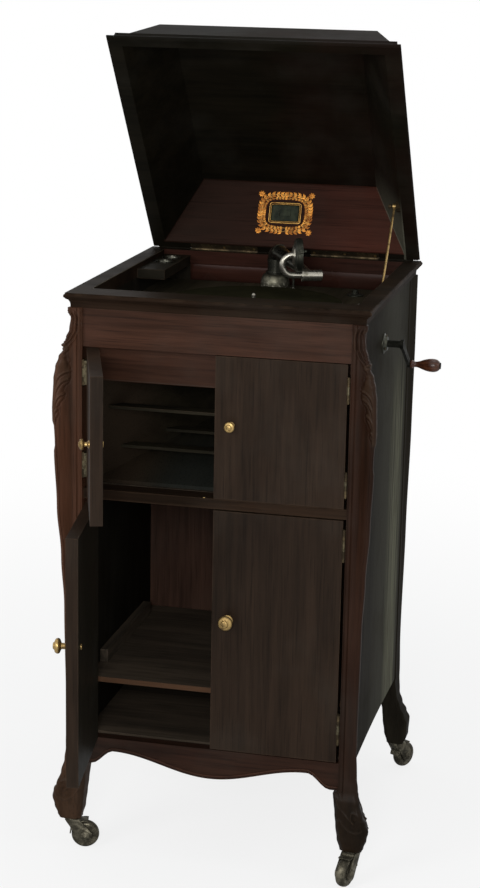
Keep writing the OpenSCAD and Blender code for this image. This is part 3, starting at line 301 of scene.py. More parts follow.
def toneLid(s, base, tone, streak, colour):
    # reddish rear panel, redder and lighter to its right, with painted shade over its left part; warm cloudy patches
    # inside; and a painted reflection low on the right-hand flank
    k = lidTones
    out = s.axes(base)
    slope = s.sum("ADD", s.sum("ADD", out[1], lidHinge["rearFoot"]), s.sum("MULTIPLY", out[2], lidHinge["slope"]))
    onRear = s.sum("LESS_THAN", s.sum("ABSOLUTE", slope), k["rearBand"])
    across = s.sum("ADD", s.sum("ABSOLUTE", out[0]), s.sum("MULTIPLY", out[2], lidHinge["slope"]))
    inLid = s.sum("MULTIPLY", s.sum("LESS_THAN", across, k["innerX"]), s.sum("LESS_THAN", out[2], k["innerTop"]))
    onRear = s.sum("MULTIPLY", onRear, inLid)
    lining = woods["liningWood"]
    red = s.blendColour(tone, lining["dark"], lining["light"])
    red = s.blendColour(s.span(out[0], *k["ruddyFrom"]), red, s.blendColour(1.0, red, k["ruddy"], "MULTIPLY"))
    # painted shade: the rear panel darkened towards its left
    red = s.blendColour(s.span(out[0], *k["shadeSpan"]), red, k["shade"])
    colour = s.blendColour(onRear, colour, red)
    warm = s.sum("MULTIPLY", s.span(s.noise(base, 5, 3, 0.5), 0.42, 0.66), s.span(out[0], -0.14, 0.0))
    warm = s.sum("MULTIPLY", warm, s.sum("SUBTRACT", 1.0, onRear))
    colour = s.blendColour(s.sum("MULTIPLY", warm, k["warm"][0]), colour, k["warm"][1])
    # painted reflection: a light grey patch low on the right-hand flank of the lid
    flank = s.sum("ADD", s.sum("MULTIPLY", out[2], lidHinge["slope"]), s.sum("SUBTRACT", out[0], k["flankX"]))
    flank = s.sum("LESS_THAN", s.sum("ABSOLUTE", flank), k["flankBand"])
    reach = s.sum("SQRT", s.sum("ADD", s.sum("POWER", out[1], 2.0), s.sum("POWER", out[2], 2.0)))
    flank = s.sum("MULTIPLY", flank, s.span(reach, *k["flankReach"]))
    return s.blendColour(s.sum("MULTIPLY", flank, k["flank"][0]), colour, k["flank"][1])


topTones = {"topZ": (0.9725, 0.9735), "flat": (0.35, (0.010, 0.009, 0.006)), "behind": (0.002, 0.0015, 0.001),
            "behindY": (0.247, 0.250), "lipRise": (0.2352, 0.2355), "lipFall": (0.2372, 0.2368),
            "lipTop": (0.9738, 0.9732)}


def toneTop(s, base, tone, streak, colour):
    # duller flat top, black behind the hinge line, and the lining's red on the lip in front of it
    k = topTones
    out = s.axes()
    flat = s.span(out[2], *k["topZ"])
    colour = s.blendColour(s.sum("MULTIPLY", flat, k["flat"][0]), colour, k["flat"][1])
    behind = s.sum("MULTIPLY", flat, s.span(out[1], *k["behindY"]))
    colour = s.blendColour(behind, colour, k["behind"])
    rear = s.sum("MULTIPLY", s.span(out[1], *k["lipRise"]), s.span(out[1], *k["lipFall"]))
    red = s.blendColour(tone, woods["liningWood"]["dark"], woods["liningWood"]["light"])
    return s.blendColour(s.sum("MULTIPLY", rear, s.span(out[2], *k["lipTop"])), colour, red)


sideTones = {"outside": 0.230, "film": (0.6, (0.040, 0.038, 0.027)), "reflectionStreaks": (0.75, (0.150, 0.148, 0.100))}


def toneSide(s, base, tone, streak, colour):
    # painted sheen: a grey-green sheen towards the rear of both sides, and painted streaks of reflection low on the
    # right one
    k = sideTones
    out = s.axes()
    outside = s.sum("GREATER_THAN", s.sum("ABSOLUTE", out[0]), k["outside"])
    # painted sheen: grey-green towards the rear of both side panels
    film = s.sum("MULTIPLY", s.span(out[1], -0.15, 0.05), s.span(out[1], 0.20, 0.10, 0.55, 1.0))
    colour = s.blendColour(s.sum("MULTIPLY", s.sum("MULTIPLY", film, outside), k["film"][0]), colour, k["film"][1])
    # painted reflection: light streaks low on the right side panel
    band = s.sum("MULTIPLY", s.span(out[1], 0.04, 0.12), s.span(out[1], 0.205, 0.17))
    band = s.sum("MULTIPLY", band, s.sum("MULTIPLY", s.span(out[2], 0.86, 0.70), s.span(streak, 0.30, 0.62)))
    right = s.sum("GREATER_THAN", out[0], k["outside"])
    return s.blendColour(s.sum("MULTIPLY", s.sum("MULTIPLY", band, right), k["reflectionStreaks"][0]), colour, k["reflectionStreaks"][1])


postTones = {"left": (1.45, 1.48, 1.40), "right": (0.48, 0.49, 0.46), "leftFoot": (0.54, 0.70, 0.66),
             "rightFoot": (0.50, 0.78, 0.72), "footZ": (0.20, 0.13), "footShare": 0.8}


def tonePost(s, base, tone, streak, colour):
    # painted light and shade: the left post is lighter and the right darker, for light falling from the left; both
    # feet are darker and more olive
    k = postTones
    out = s.axes()
    side = s.span(out[0], -0.15, 0.15)
    # painted light and shade: the left post lightened and the right one darkened
    colour = s.blendColour(1.0, colour, s.blendColour(side, k["left"], k["right"]), "MULTIPLY")
    olive = s.blendColour(1.0, colour, s.blendColour(side, k["leftFoot"], k["rightFoot"]), "MULTIPLY")
    return s.blendColour(s.sum("MULTIPLY", s.span(out[2], *k["footZ"]), k["footShare"]), colour, olive)


hornTones = {"left": (0.8, (0.034, 0.023, 0.015)), "shade": (0.7, (0.004, 0.005, 0.003)),
             "cool": (0.6, (0.026, 0.030, 0.027))}


def toneHorn(s, base, tone, streak, colour):
    # brown wood on the left of the mouth, painted lighter towards the front; painted shade high up; and painted cool
    # light on its floor
    k = hornTones
    out = s.axes()
    # brown on the left of the mouth, stronger towards the front as painted light
    left = s.sum("MULTIPLY", s.span(out[0], -0.07, -0.17), s.span(out[1], -0.02, -0.16))
    colour = s.blendColour(s.sum("MULTIPLY", left, k["left"][0]), colour, k["left"][1])
    shade = s.sum("MULTIPLY", s.span(out[2], 0.74, 0.80), s.span(out[0], -0.15, -0.06))
    colour = s.blendColour(s.sum("MULTIPLY", shade, k["shade"][0]), colour, k["shade"][1])
    # painted cool light on the floor of the horn
    cool = s.sum("MULTIPLY", s.span(out[2], 0.715, 0.665), s.span(out[0], -0.16, -0.06))
    return s.blendColour(s.sum("MULTIPLY", cool, k["cool"][0]), colour, k["cool"][1])


shelfTones = {"edgeY": (-0.2284, -0.2288), "edge": (0.75, (0.085, 0.036, 0.016))}


def toneShelf(s, base, tone, streak, colour):
    # the front edge is warmer and lighter
    k = shelfTones
    edge = s.span(s.axes()[1], *k["edgeY"])
    return s.blendColour(s.sum("MULTIPLY", edge, k["edge"][0]), colour, k["edge"][1])


doorTones = {"innerY": (-0.2350, -0.2345), "inner": (0.75, (0.0060, 0.0066, 0.0048))}


def toneDoor(s, base, tone, streak, colour):
    # the inner faces are nearly black
    k = doorTones
    inner = s.span(s.axes(base)[1], *k["innerY"])
    return s.blendColour(s.sum("MULTIPLY", inner, k["inner"][0]), colour, k["inner"][1])


placeTones = {"lid": toneLid, "top": toneTop, "side": toneSide, "post": tonePost, "horn": toneHorn,
              "shelf": toneShelf, "door": toneDoor}


# Grain noise stretched along one axis, dark pores, a slow figure across, and worn edges on a box.
# turned gives a door's angle and hinge point, so that its grain goes round with it.
def makeWood(finish, grain="z", name=None, box=None, wear=0.0, turned=None, relief=False, seed=0.0, extra=None,
             tint=1.0):
    look = dict(woods[finish])
    for k in ("dark", "light"):
        look[k] = tuple(c * tint for c in look[k])
    s = Shade(name or finish + grain.upper()).principled()
    along = {"x": 0, "y": 1, "z": 2}[grain]
    base = s.place
    if turned is not None:
        angle, pivot = turned
        m = Matrix.Rotation(angle, 3, "Z")
        p = Vector(pivot)
        base = s.moved(turn=(0, 0, angle), shift=tuple(p - m @ p))
    if extra == "lid":
        m = Matrix.Rotation(math.radians(lidHinge["open"]), 3, "X")
        p = Vector((0, lidHinge["y"], lidHinge["z"]))
        base = s.moved(turn=(math.radians(lidHinge["open"]), 0, 0), shift=tuple(-(m @ p)))

    def stretched(share, shift):
        scale = [1.0, 1.0, 1.0]
        scale[along] = share
        return s.moved(tuple(scale), shift=shift, source=base)

    broad = s.noise(stretched(0.16, (seed * 2, seed, seed)), 16, 3, 0.55, 0.7)
    streak = s.noise(stretched(0.045, (seed, seed * 0.7, seed * 1.3)), 120, 4, 0.62, 0.25)
    fine = s.noise(stretched(0.02, (seed, seed, seed)), 620, 2, 0.5)
    tone = s.sum("ADD", s.sum("MULTIPLY", s.span(broad, 0.32, 0.70), 0.55),
                 s.sum("MULTIPLY", s.span(streak, 0.30, 0.72), 0.45))
    colour = s.blendColour(tone, look["dark"], look["light"])
    if extra:
        colour = placeTones[extra](s, base, tone, streak, colour)
    pores = s.span(fine, 0.56, 0.70)
    colour = s.blendColour(s.sum("MULTIPLY", pores, 0.45), colour, tuple(c * 0.35 for c in look["dark"]))
    film = s.noise(base, 7, 4, 0.6)
    haze = s.span(film, 0.45, 0.75)
    colour = s.blendColour(s.sum("MULTIPLY", haze, 0.10), colour, (0.060, 0.055, 0.045))
    if box is not None and wear > 0:
        rubbed = edgeWear(s, box[0], box[1], wear, base)
        colour = s.blendColour(s.sum("MULTIPLY", rubbed, 0.40), colour, rubbedTone)
    if relief:
        height = s.attribute("relief")
        high = s.span(height, 0.58, 0.95)
        low = s.span(height, 0.42, 0.10)
        colour = s.blendColour(s.sum("MULTIPLY", high, 0.35), colour, rubbedTone)
        colour = s.blendColour(s.sum("MULTIPLY", low, 0.55), colour, tuple(c * 0.40 for c in look["dark"]))
    s.join(colour, s.bsdf.inputs["Base Color"])
    dull = s.sum("ADD", s.sum("MULTIPLY", haze, 0.14), s.sum("MULTIPLY", pores, 0.10))
    s.join(s.sum("ADD", look["gloss"] - 0.05, dull), s.bsdf.inputs["Roughness"])
    s.bsdf.inputs["Specular IOR Level"].default_value = look["shine"]
    peel = s.noise(base, 210, 2, 0.5)
    first = s.bump(peel, 0.10, 0.0008)
    second = s.bump(s.sum("ADD", streak, s.sum("MULTIPLY", pores, -0.5)), 0.14, 0.0006, first)
    s.join(second, s.bsdf.inputs["Normal"])
    return s.material


# clean and tarnished tones, roughness, and the noise levels between which the tarnish takes over
metals = {
    "brass": {"clean": (0.40, 0.27, 0.105), "tarnish": (0.10, 0.064, 0.028), "gloss": 0.30, "share": (0.42, 0.66)},
    "dullBrass": {"clean": (0.105, 0.076, 0.040), "tarnish": (0.030, 0.022, 0.013), "gloss": 0.45,
                  "share": (0.36, 0.58)},
    "nickel": {"clean": (0.36, 0.34, 0.29), "tarnish": (0.095, 0.090, 0.062), "gloss": 0.22, "share": (0.44, 0.74)},
    "bronze": {"clean": (0.115, 0.108, 0.078), "tarnish": (0.024, 0.024, 0.017), "gloss": 0.34,
               "share": (0.38, 0.62)},
    "darkNickel": {"clean": (0.060, 0.060, 0.046), "tarnish": (0.020, 0.021, 0.016), "gloss": 0.36,
                   "share": (0.38, 0.64)},
    "casterMetal": {"clean": (0.16, 0.145, 0.105), "tarnish": (0.040, 0.036, 0.026), "gloss": 0.42,
                    "share": (0.34, 0.62)},
    "blackIron": {"clean": (0.030, 0.028, 0.025), "tarnish": (0.055, 0.038, 0.025), "gloss": 0.55,
                  "share": (0.55, 0.75)},
    "darkIron": {"clean": (0.017, 0.017, 0.013), "tarnish": (0.007, 0.007, 0.005), "gloss": 0.62,
                 "share": (0.40, 0.66)},
    "gilt": {"clean": (0.52, 0.215, 0.038), "tarnish": (0.20, 0.062, 0.014), "gloss": 0.40, "share": (0.42, 0.66)},
    "giltLine": {"clean": (0.62, 0.36, 0.10), "tarnish": (0.30, 0.14, 0.036), "gloss": 0.32, "share": (0.46, 0.70)},
}


# Clean and tarnished tones in cloudy patches, fine scratches in the roughness and a faint cast skin
def makeMetal(finish, name=None):
    look = metals[finish]
    s = Shade(name or finish).principled()
    cloud = s.noise(s.place, 55, 5, 0.62, 0.4)
    specks = s.noise(s.place, 420, 3, 0.6)
    spoilt = s.span(s.sum("ADD", s.sum("MULTIPLY", cloud, 0.78), s.sum("MULTIPLY", specks, 0.22)), *look["share"])
    colour = s.blendColour(spoilt, look["clean"], look["tarnish"])
    if finish == "brass":  # the door hinges, away from the knobs, are dull
        out = s.axes()
        closed = s.sum("MULTIPLY", s.sum("GREATER_THAN", out[0], 0.14), s.sum("LESS_THAN", out[1], -0.22))
        opened = s.sum("MULTIPLY", s.sum("LESS_THAN", out[0], -0.14), s.sum("GREATER_THAN", out[1], -0.30))
        leaf = s.sum("MULTIPLY", s.sum("ADD", closed, opened, clamp=True), 0.9)
        grime = s.span(s.noise(s.place, 130, 4, 0.7), 0.40, 0.62)
        colour = s.blendColour(leaf, colour, s.blendColour(grime, (0.105, 0.095, 0.064), (0.020, 0.018, 0.012)))
    if finish == "nickel":  # the thick part of the arm is tarnished dark, its sleeve is bright
        out = s.axes()
        arm = s.sum("MULTIPLY", s.span(out[0], 0.080, 0.070), s.span(out[2], 0.931, 0.9325))
        arm = s.sum("MULTIPLY", arm, s.sum("GREATER_THAN", out[1], 0.060))
        colour = s.blendColour(s.sum("MULTIPLY", arm, 0.9), colour, (0.030, 0.031, 0.023))
    if finish == "bronze":  # painted highlights: bright specks low on the casting
        low = s.span(s.axes()[2], 0.945, 0.925)
        # painted highlights: bright specks low on the bronze casting
        spots = s.span(s.noise(s.place, 210, 4, 0.7), 0.50, 0.60)
        colour = s.blendColour(s.sum("MULTIPLY", low, spots), colour, (0.42, 0.40, 0.32))
    s.join(colour, s.bsdf.inputs["Base Color"])
    s.bsdf.inputs["Metallic"].default_value = 0.92
    scratch = s.noise(s.moved((1, 1, 0.08)), 900, 2, 0.5)
    rough = s.sum("ADD", look["gloss"], s.sum("MULTIPLY", spoilt, 0.22))
    s.join(s.sum("ADD", rough, s.sum("MULTIPLY", scratch, 0.08)), s.bsdf.inputs["Roughness"])
    s.join(s.bump(specks, 0.10, 0.0004), s.bsdf.inputs["Normal"])
    return s.material


# Short dark green pile: two noises for the fibres, rubbed paler towards the spindle
def makeFelt():
    s = Shade("greenFelt").principled()
    pile = s.noise(s.place, 1400, 4, 0.7)
    patch = s.noise(s.place, 22, 4, 0.6)
    out = s.axes(s.moved((1, 1, 0), shift=(-0.005, 0.010, 0)))
    r = s.sum("SQRT", s.sum("ADD", s.sum("MULTIPLY", out[0], out[0]), s.sum("MULTIPLY", out[1], out[1])))
    rubbed = s.span(r, 0.12, 0.02)
    colour = s.blendColour(s.span(patch, 0.35, 0.7), (0.0100, 0.0094, 0.0044), (0.0170, 0.0156, 0.0074))
    colour = s.blendColour(s.sum("MULTIPLY", s.span(pile, 0.4, 0.7), 0.4), colour, (0.023, 0.021, 0.010))
    colour = s.blendColour(s.sum("MULTIPLY", rubbed, 0.25), colour, (0.030, 0.027, 0.014))
    s.join(colour, s.bsdf.inputs["Base Color"])
    s.bsdf.inputs["Roughness"].default_value = 0.95
    s.bsdf.inputs["Specular IOR Level"].default_value = 0.02
    s.join(s.bump(pile, 0.5, 0.0008), s.bsdf.inputs["Normal"])
    return s.material


# Turned red-brown hardwood: grain along the handle, polished by the hand, darker in cloudy patches
def makeGripWood():
    s = Shade("gripWood").principled()
    grain = s.noise(s.moved((0.06, 1, 1)), 260, 4, 0.6, 0.3)
    cloud = s.noise(s.place, 60, 3, 0.55)
    colour = s.blendColour(s.span(grain, 0.35, 0.7), (0.036, 0.0110, 0.0050), (0.088, 0.030, 0.014))
    colour = s.blendColour(s.sum("MULTIPLY", s.span(cloud, 0.5, 0.75), 0.4), colour, (0.028, 0.010, 0.006))
    s.join(colour, s.bsdf.inputs["Base Color"])
    s.join(s.span(cloud, 0.3, 0.7, 0.20, 0.36), s.bsdf.inputs["Roughness"])
    s.bsdf.inputs["Specular IOR Level"].default_value = 0.35
    s.join(s.bump(grain, 0.12, 0.0004), s.bsdf.inputs["Normal"])
    return s.material


# Flat painted ground of the gilt wreath: dark green, crazed and a little worn
def makePaint():
    s = Shade("greenGround").principled()
    crazed = s.noise(s.place, 520, 4, 0.7)
    cloud = s.noise(s.place, 70, 4, 0.6)
    colour = s.blendColour(s.span(cloud, 0.3, 0.7), (0.0085, 0.0120, 0.0070), (0.030, 0.036, 0.021))
    colour = s.blendColour(s.span(crazed, 0.60, 0.72), colour, (0.075, 0.050, 0.022))
    s.join(colour, s.bsdf.inputs["Base Color"])
    s.bsdf.inputs["Roughness"].default_value = 0.5
    s.bsdf.inputs["Specular IOR Level"].default_value = 0.1
    s.join(s.bump(crazed, 0.2, 0.0004), s.bsdf.inputs["Normal"])
    return s.material


def dress(material, *names):
    for n in names:
        slots = nodeObjects[n].material_slots
        if len(slots):
            for one in slots:
                one.material = material
        else:
            nodeObjects[n].data.materials.append(material)


def boxOf(name):
    low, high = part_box(name)
    return tuple(low), tuple(high)


finishes = {k: makeMetal(k) for k in metals}
postWood = makeWood("postWood", "z", name="carvedPostWood", relief=True, extra="post")
doorHinge = {"x": 0.219, "y": -0.259, "upperOpen": 71, "lowerOpen": 81, "wear": 0.0028}
# side, key of the angle at which the door stands open, and how light its wood is
doors = {"upper_left_door": (-1, "upperOpen", 0.78), "upper_right_door": (1, None, 0.96),
         "lower_left_door": (-1, "lowerOpen", 0.78), "lower_right_door": (1, None, 0.78)}


def dressNodes():
    plain = [
        # finish, grain, material name, worn edge in m, seed, extra, tint, nodes
        ("friezeWood", "x", "friezeBoard", 0.0018, 3.1, None, 1.0, ["front_frieze"]),
        ("topWood", "x", "railBoard", 0.004, 5.0, None, 1.0, ["mid_rail"]),
        ("friezeWood", "x", "apronBoard", 0, 7.7, None, 0.54, ["front_apron"]),
        ("topWood", "x", "topBoard", 0.006, 1.9, "top", 0.62, ["top_moulding"]),
        ("lidWood", "x", "lidBoard", 0, 2.3, "lid", 1.0, ["lid_frame", "lid_dome"]),
        ("sideWood", "z", "sideBoard", 0, 8.2, "side", 0.80, ["side_panels"]),
        ("sideWood", "z", "rearBoard", 0, 4.2, None, 1.2, ["back_panel"]),
        # painted light: the boards inside the cabinet and the motor board carry tints above 1, up to 3.4, lightening
        # them for light that reaches in only weakly
        ("innerWood", "x", "floorBoard", 0, 6.6, None, 2.5, ["cabinet_floor"]),
        ("innerWood", "y", "battenBoard", 0, 6.9, None, 3.4, ["shelf_battens"]),
        ("hornWood", "x", "trayBoard", 0.003, 6.2, None, 0.7, ["needle_tray"]),
        ("hornWood", "y", "motorBoardWood", 0, 6.1, None, 2.3, ["motor_board"]),
        ("innerWood", "y", "hornFloorWood", 0, 6.4, None, 2.0, ["horn_floor"]),
        ("innerWood", "x", "shelfBoard", 0.008, 9.3, "shelf", 2.7, ["record_shelf"]),
        ("backWood", "z", "innerBackBoard", 0, 2.9, None, 1.35, ["inner_back"]),
        ("hornWood", "y", "hornBoard", 0, 4.9, "horn", 0.90, ["sound_horn"]),
        ("hornWood", "x", "slatBoard", 0.003, 3.7, None, 1.3, ["horn_louvres"]),
    ]
    for finish, grain, name, wear, seed, extra, tint, nodes in plain:
        box = boxOf(nodes[0]) if wear else None
        dress(makeWood(finish, grain, name, box, wear, seed=seed, extra=extra, tint=tint), *nodes)
    for n, (side, opened, tint) in doors.items():
        low, high = boxOf(n.replace("left", "right"))  # the closed door gives the edges that wear
        turned = None
        if opened:
            low, high = (-high[0], low[1], low[2]), (-low[0], high[1], high[2])
            turned = (math.radians(doorHinge[opened]), (side * doorHinge["x"], doorHinge["y"], 0))
        seed = 11.0 + len(n) * 0.9 + side
        dress(makeWood("doorWood", "z", n + "Wood", (low, high), doorHinge["wear"], turned, seed=seed, extra="door",
                       tint=tint), n)
    metal = {
        "dullBrass": ["hinge_leaves", "stay_guide", "governor", "lid_fittings"],
        "brass": ["stay_rod", "upper_left_fittings", "upper_right_fittings", "lower_left_fittings",
                  "lower_right_fittings"],
        "nickel": ["tone_arm", "gooseneck", "spindle", "platter", "arm_post", "needle_cups"],
        "darkNickel": ["sound_box", "brake_lever", "speed_control", "needle_clamp", "crank_escutcheon"],
        "bronze": ["tone_arm_bracket"],
        "blackIron": ["horn_elbow", "motor_frame", "spring_barrel", "winding_gear"],
        "darkIron": ["crank"],
        "casterMetal": ["caster_sockets"] + [f"{a}_{b}_{c}" for a in ("front", "rear") for b in ("left", "right")
                                             for c in ("fork", "wheel")],
    }
    for finish, nodes in metal.items():
        dress(finishes[finish], *nodes)
    dress(makeFelt(), "platter_felt")


dressNodes()
print("materials are on the CAD pieces")


# A mesh from grids of points. Each part is (grid, flipped, relief values or None): rows run along v and columns
# along u; closeU joins the last column to the first, and caps close the first and last rows.
def surface(name, parts, material, body, replaces=(), closeU=False, caps=False):
    points = []
    faces = []
    attrs = []
    start = 0
    for g, turned, val in parts:
        rows, cols = g.shape[:2]
        points.append(g.reshape(-1, 3))
        attrs.append(np.full(rows * cols, 0.5) if val is None else val.reshape(-1))
        r = np.arange(rows - 1)[:, None]
        c = np.arange(cols if closeU else cols - 1)[None, :]
        nxt = (c + 1) % cols
        quad = np.stack([r * cols + c, r * cols + nxt, (r + 1) * cols + nxt, (r + 1) * cols + c], -1).reshape(-1, 4)
        quad = quad[:, ::-1] if turned else quad
        faces += (quad + start).tolist()
        if caps:
            ring = np.arange(cols)
            for cap in (ring[::-1] + start, ring + (rows - 1) * cols + start):
                faces.append((cap[::-1] if turned else cap).tolist())
        start += rows * cols
    mesh = bpy.data.meshes.new(name)
    mesh.from_pydata(np.concatenate(points).tolist(), [], faces)
    data = mesh.attributes.new("relief", "FLOAT", "POINT")
    data.data.foreach_set("value", np.concatenate(attrs).astype(np.float32))
    mesh.shade_smooth()
    mesh.materials.append(material)
    obj = bpy.data.objects.new(name, mesh)
    bpy.context.collection.objects.link(obj)
    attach(obj, body)
    if replaces:
        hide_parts(*replaces)
    return obj


def frameOf(axis):
    # two unit vectors across a unit axis
    w = np.asarray(axis, float)
    w = w / np.linalg.norm(w)
    u = np.cross(w, [0.0, 0.0, 1.0] if abs(w[2]) < 0.9 else [0.0, 1.0, 0.0])
    u = u / np.linalg.norm(u)
    return u, np.cross(w, u), w


def lathe(profile, centre, axis, columns=28):
    # rings of radius r at height h along the axis, for (r, h) pairs in mm
    u, v, w = frameOf(axis)
    a = np.linspace(0, 2 * math.pi, columns, endpoint=False)
    ring = np.cos(a)[:, None] * u + np.sin(a)[:, None] * v
    return np.stack([np.asarray(centre, float) + r * ring + h * w for r, h in profile])


def tube(points, radius, columns=8):
    # rings across a run of points in mm; the radius may change along it
    p = np.asarray(points, float)
    d = np.gradient(p, axis=0)
    rr = np.broadcast_to(radius, len(p))
    u = np.cross(d, frameOf(d[0])[0])
    u = u / np.linalg.norm(u, axis=1, keepdims=True)
    v = np.cross(d, u)
    v = v / np.linalg.norm(v, axis=1, keepdims=True)
    a = np.linspace(0, 2 * math.pi, columns, endpoint=False)
    return p[:, None] + rr[:, None, None] * (np.cos(a)[:, None] * u[:, None] + np.sin(a)[:, None] * v[:, None])


def eased(keys, z, column):
    # a cosine ease between neighbouring keys, as in the part's source
    k = np.array(sorted(keys), float)
    i = np.clip(np.searchsorted(k[:, 0], z, side="right") - 1, 0, len(k) - 2)
    t = np.clip((z - k[i, 0]) / (k[i + 1, 0] - k[i, 0]), 0, 1)
    return k[i, column] + (k[i + 1, column] - k[i, column]) * (1 - np.cos(math.pi * t)) / 2


def lineDistance(x, z, points):
    # shortest distance from every (x, z) to a run of straight pieces, and how far along the run it is met (0 to 1)
    best = np.full(np.broadcast(x, z).shape, 1e3)
    along = np.zeros_like(best)
    runs = list(zip(points[:-1], points[1:]))
    for i, ((x0, z0), (x1, z1)) in enumerate(runs):
        dx = x1 - x0
        dz = z1 - z0
        t = np.clip(((x - x0) * dx + (z - z0) * dz) / (dx * dx + dz * dz), 0, 1)
        d = np.hypot(x - x0 - t * dx, z - z0 - t * dz)
        along = np.where(d < best, (i + t) / len(runs), along)
        best = np.minimum(best, d)
    return best, along


def curved(points, steps=6):
    # a Catmull-Rom run through the points
    p = np.array([points[0], *points, points[-1]], float)
    out = []
    for i in range(1, len(p) - 2):
        for t in np.arange(steps) / steps:
            a = 2 * p[i] + (p[i + 1] - p[i - 1]) * t
            b = (2 * p[i - 1] - 5 * p[i] + 4 * p[i + 1] - p[i + 2]) * t ** 2
            c = (3 * p[i] - p[i - 1] - 3 * p[i + 1] + p[i + 2]) * t ** 3
            out.append((a + b + c) / 2)
    out.append(p[-2])
    return [tuple(v) for v in out]


# Posts: keys are (height from the foot or drop from the top frame, out beyond the opening, proud), all in mm
post = {
    "sideIn": 222, "front": -254, "back": 254, "depth": 40, "footZ": 58, "headZ": 950, "panel": 16,
    "footKeys": [(0, 44, 8), (7, 47, 9), (23, 52, 11), (39, 55, 13), (53, 51.5, 17), (64, 46, 19),
                 (87, 39, 14), (108, 34.5, 8.5), (130, 32, 7), (205, 29, 8.5)],
    "headKeys": [(507, 31, 10.5), (419, 35, 14), (330, 40.5, 19), (233, 44, 22), (165, 46, 24), (116, 44.5, 22),
                 (97, 42, 20), (81, 37.5, 16), (67, 30.5, 12), (60, 32, 14), (49, 28, 11), (36, 23.5, 8),
                 (17, 21.5, 6), (0, 26, 8)],
    "rearFootKeys": [(0, 33, 8), (14, 39.5, 11), (44, 41, 12), (60, 35, 9), (78, 27.5, 4), (100, 22, 0),
                     (132, 20, 0), (212, 18.5, 0)],
    "rearHeadKeys": [(470, 21, 0), (268, 24, 0), (119, 25, 0), (0, 25, 0)],
    "legInside": [(0, -5), (22, 0), (47, 2.5), (67, 4.5), (87, 6), (105, 8)],
    "legBack": [(0, 24), (22, 26), (47, 28), (67, 30), (87, 33), (105, 37), (134, 40)],
    "rearInside": [(0, -2), (22, 3), (47, 6), (67, 7), (87, 10), (105, 12)],
    "rearBack": [(0, 28), (22, 32), (47, 35), (67, 38), (87, 41), (105, 44), (134, 49)],
    "lean": 13, "legTop": 163, "panelFoot": 192, "rowZ": [(58, 200, 1.7), (200, 748, 9.0), (748, 950.1, 1.2)],
    "frontColumns": 64, "cornerColumns": 18, "sideColumns": 36, "backColumns": 8,
}
# Carving on the front posts, as (distance from the corner, height) in mm: two flutes that bend into the curl,
# the leaf's inner edge, its veins from tip to stem, and the hooked lines above the foot
carved = {
    "flutes": [([(15.5, 947), (17, 932), (18, 915), (17, 902), (13, 891), (6, 885)], 1.5, 1.5),
               ([(9.5, 945), (10.5, 930), (11.5, 914), (10.5, 902), (7, 893), (3, 890)], 1.1, 1.3)],
    "curl": (3.0, 884.5, 6.6),
    "volute": (2.0, 941, 4.6),
    "leafEdge": [(757, 3), (766, 6.5), (776, 10.5), (781, 10), (786, 9), (792, 12), (802, 17.5), (809, 18.5),
                 (814, 15.5), (820, 17), (828, 24), (836, 26), (842, 25), (850, 23.5), (860, 19.5), (870, 12),
                 (878, 7)],
    "veins": [[(25, 843), (17, 841), (10, 834), (6, 822), (4.5, 806)],
              [(23, 830), (15, 826), (9, 816), (6, 803), (4.5, 790)],
              [(17.5, 806), (11, 801), (7, 791), (5, 778)],
              [(10, 781), (6.5, 776), (4.5, 768)],
              [(12, 868), (17, 862), (20, 856), (20.5, 850)]],
    "footLines": [[(8, 128), (14, 131.5), (19, 129.5), (22, 122), (22.5, 113)],
                  [(22.5, 113), (27, 120), (33, 129), (37, 140), (39, 152)], [(3, 118), (7, 107), (14, 98), (24, 94),
                   (33, 97), (40, 105), (45, 118)]],
    "footHollow": [(12, 124), (17, 125), (19, 117), (17, 108)],
    "drop": (24.5, 106, 5.0),
}


def gauss(d, width):
    return np.exp(-(d / width) ** 2)


# Height of the carving at distance q from the corner and height z, both in mm
def carving(q, z):
    h = np.zeros(np.broadcast(q, z).shape)
    for line, high, wide in carved["flutes"]:
        d, t = lineDistance(q, z, curved(line))
        on = np.clip(t / 0.08, 0, 1)
        h += high * on * gauss(d, wide + 0.6)
        side, _ = lineDistance(q + 2.9, z, curved(line))
        h -= 1.5 * on * gauss(side, wide)
    cq, cz, cr = carved["curl"]
    r = np.hypot(q - cq, z - cz)
    swirl = np.cos(np.arctan2(z - cz, q - cq) + r * 1.0)
    h += 3.0 * np.exp(-(r / cr) ** 4) + 1.1 * swirl * np.exp(-(r / (cr + 0.4)) ** 4)
    # small scallops on the outline above the curl
    h += 0.8 * np.cos(2 * math.pi * (z - 890) / 4.2) * gauss(q, 4.0) * gauss(z - 895, 6.5)
    edge = eased(carved["leafEdge"], np.clip(z, 757, 878), 1)
    fade = np.clip((z - 755) / 9, 0, 1) * np.clip((879 - z) / 6, 0, 1)
    body = 1 / (1 + np.exp((q - edge) / 0.8))
    h += fade * body * (1.3 + 0.9 * np.sin(math.pi * np.clip(q / edge, 0, 1)))
    h -= fade * 0.8 * gauss(q - edge - 1.4, 1.3)
    for line in carved["veins"]:
        d, t = lineDistance(q, z, curved(line))
        taper = np.clip((1 - t) / 0.5, 0, 1) * np.clip((t + 0.12) / 0.2, 0, 1)
        h -= 1.7 * taper * gauss(d, 1.5)
        over, t = lineDistance(q, z - 3.2, curved(line))
        h += 1.2 * np.clip((1 - t) / 0.6, 0, 1) * gauss(over, 1.9)
    vq, vz, vr = carved["volute"]
    r = np.hypot(q - vq, z - vz)
    h += 1.7 * np.exp(-(r / vr) ** 4) * (1 + 0.4 * np.cos(r * 1.6))
    for line in carved["footLines"]:
        d, t = lineDistance(q, z, curved(line))
        h += 1.6 * gauss(d, 1.5)
    d, t = lineDistance(q, z, curved(carved["footHollow"]))
    h -= 0.8 * gauss(d, 1.6)
    dq, dz, dr = carved["drop"]
    h += 1.2 * np.exp(-(np.hypot((q - dq) * 1.6, z - dz) / dr) ** 2)
    return h


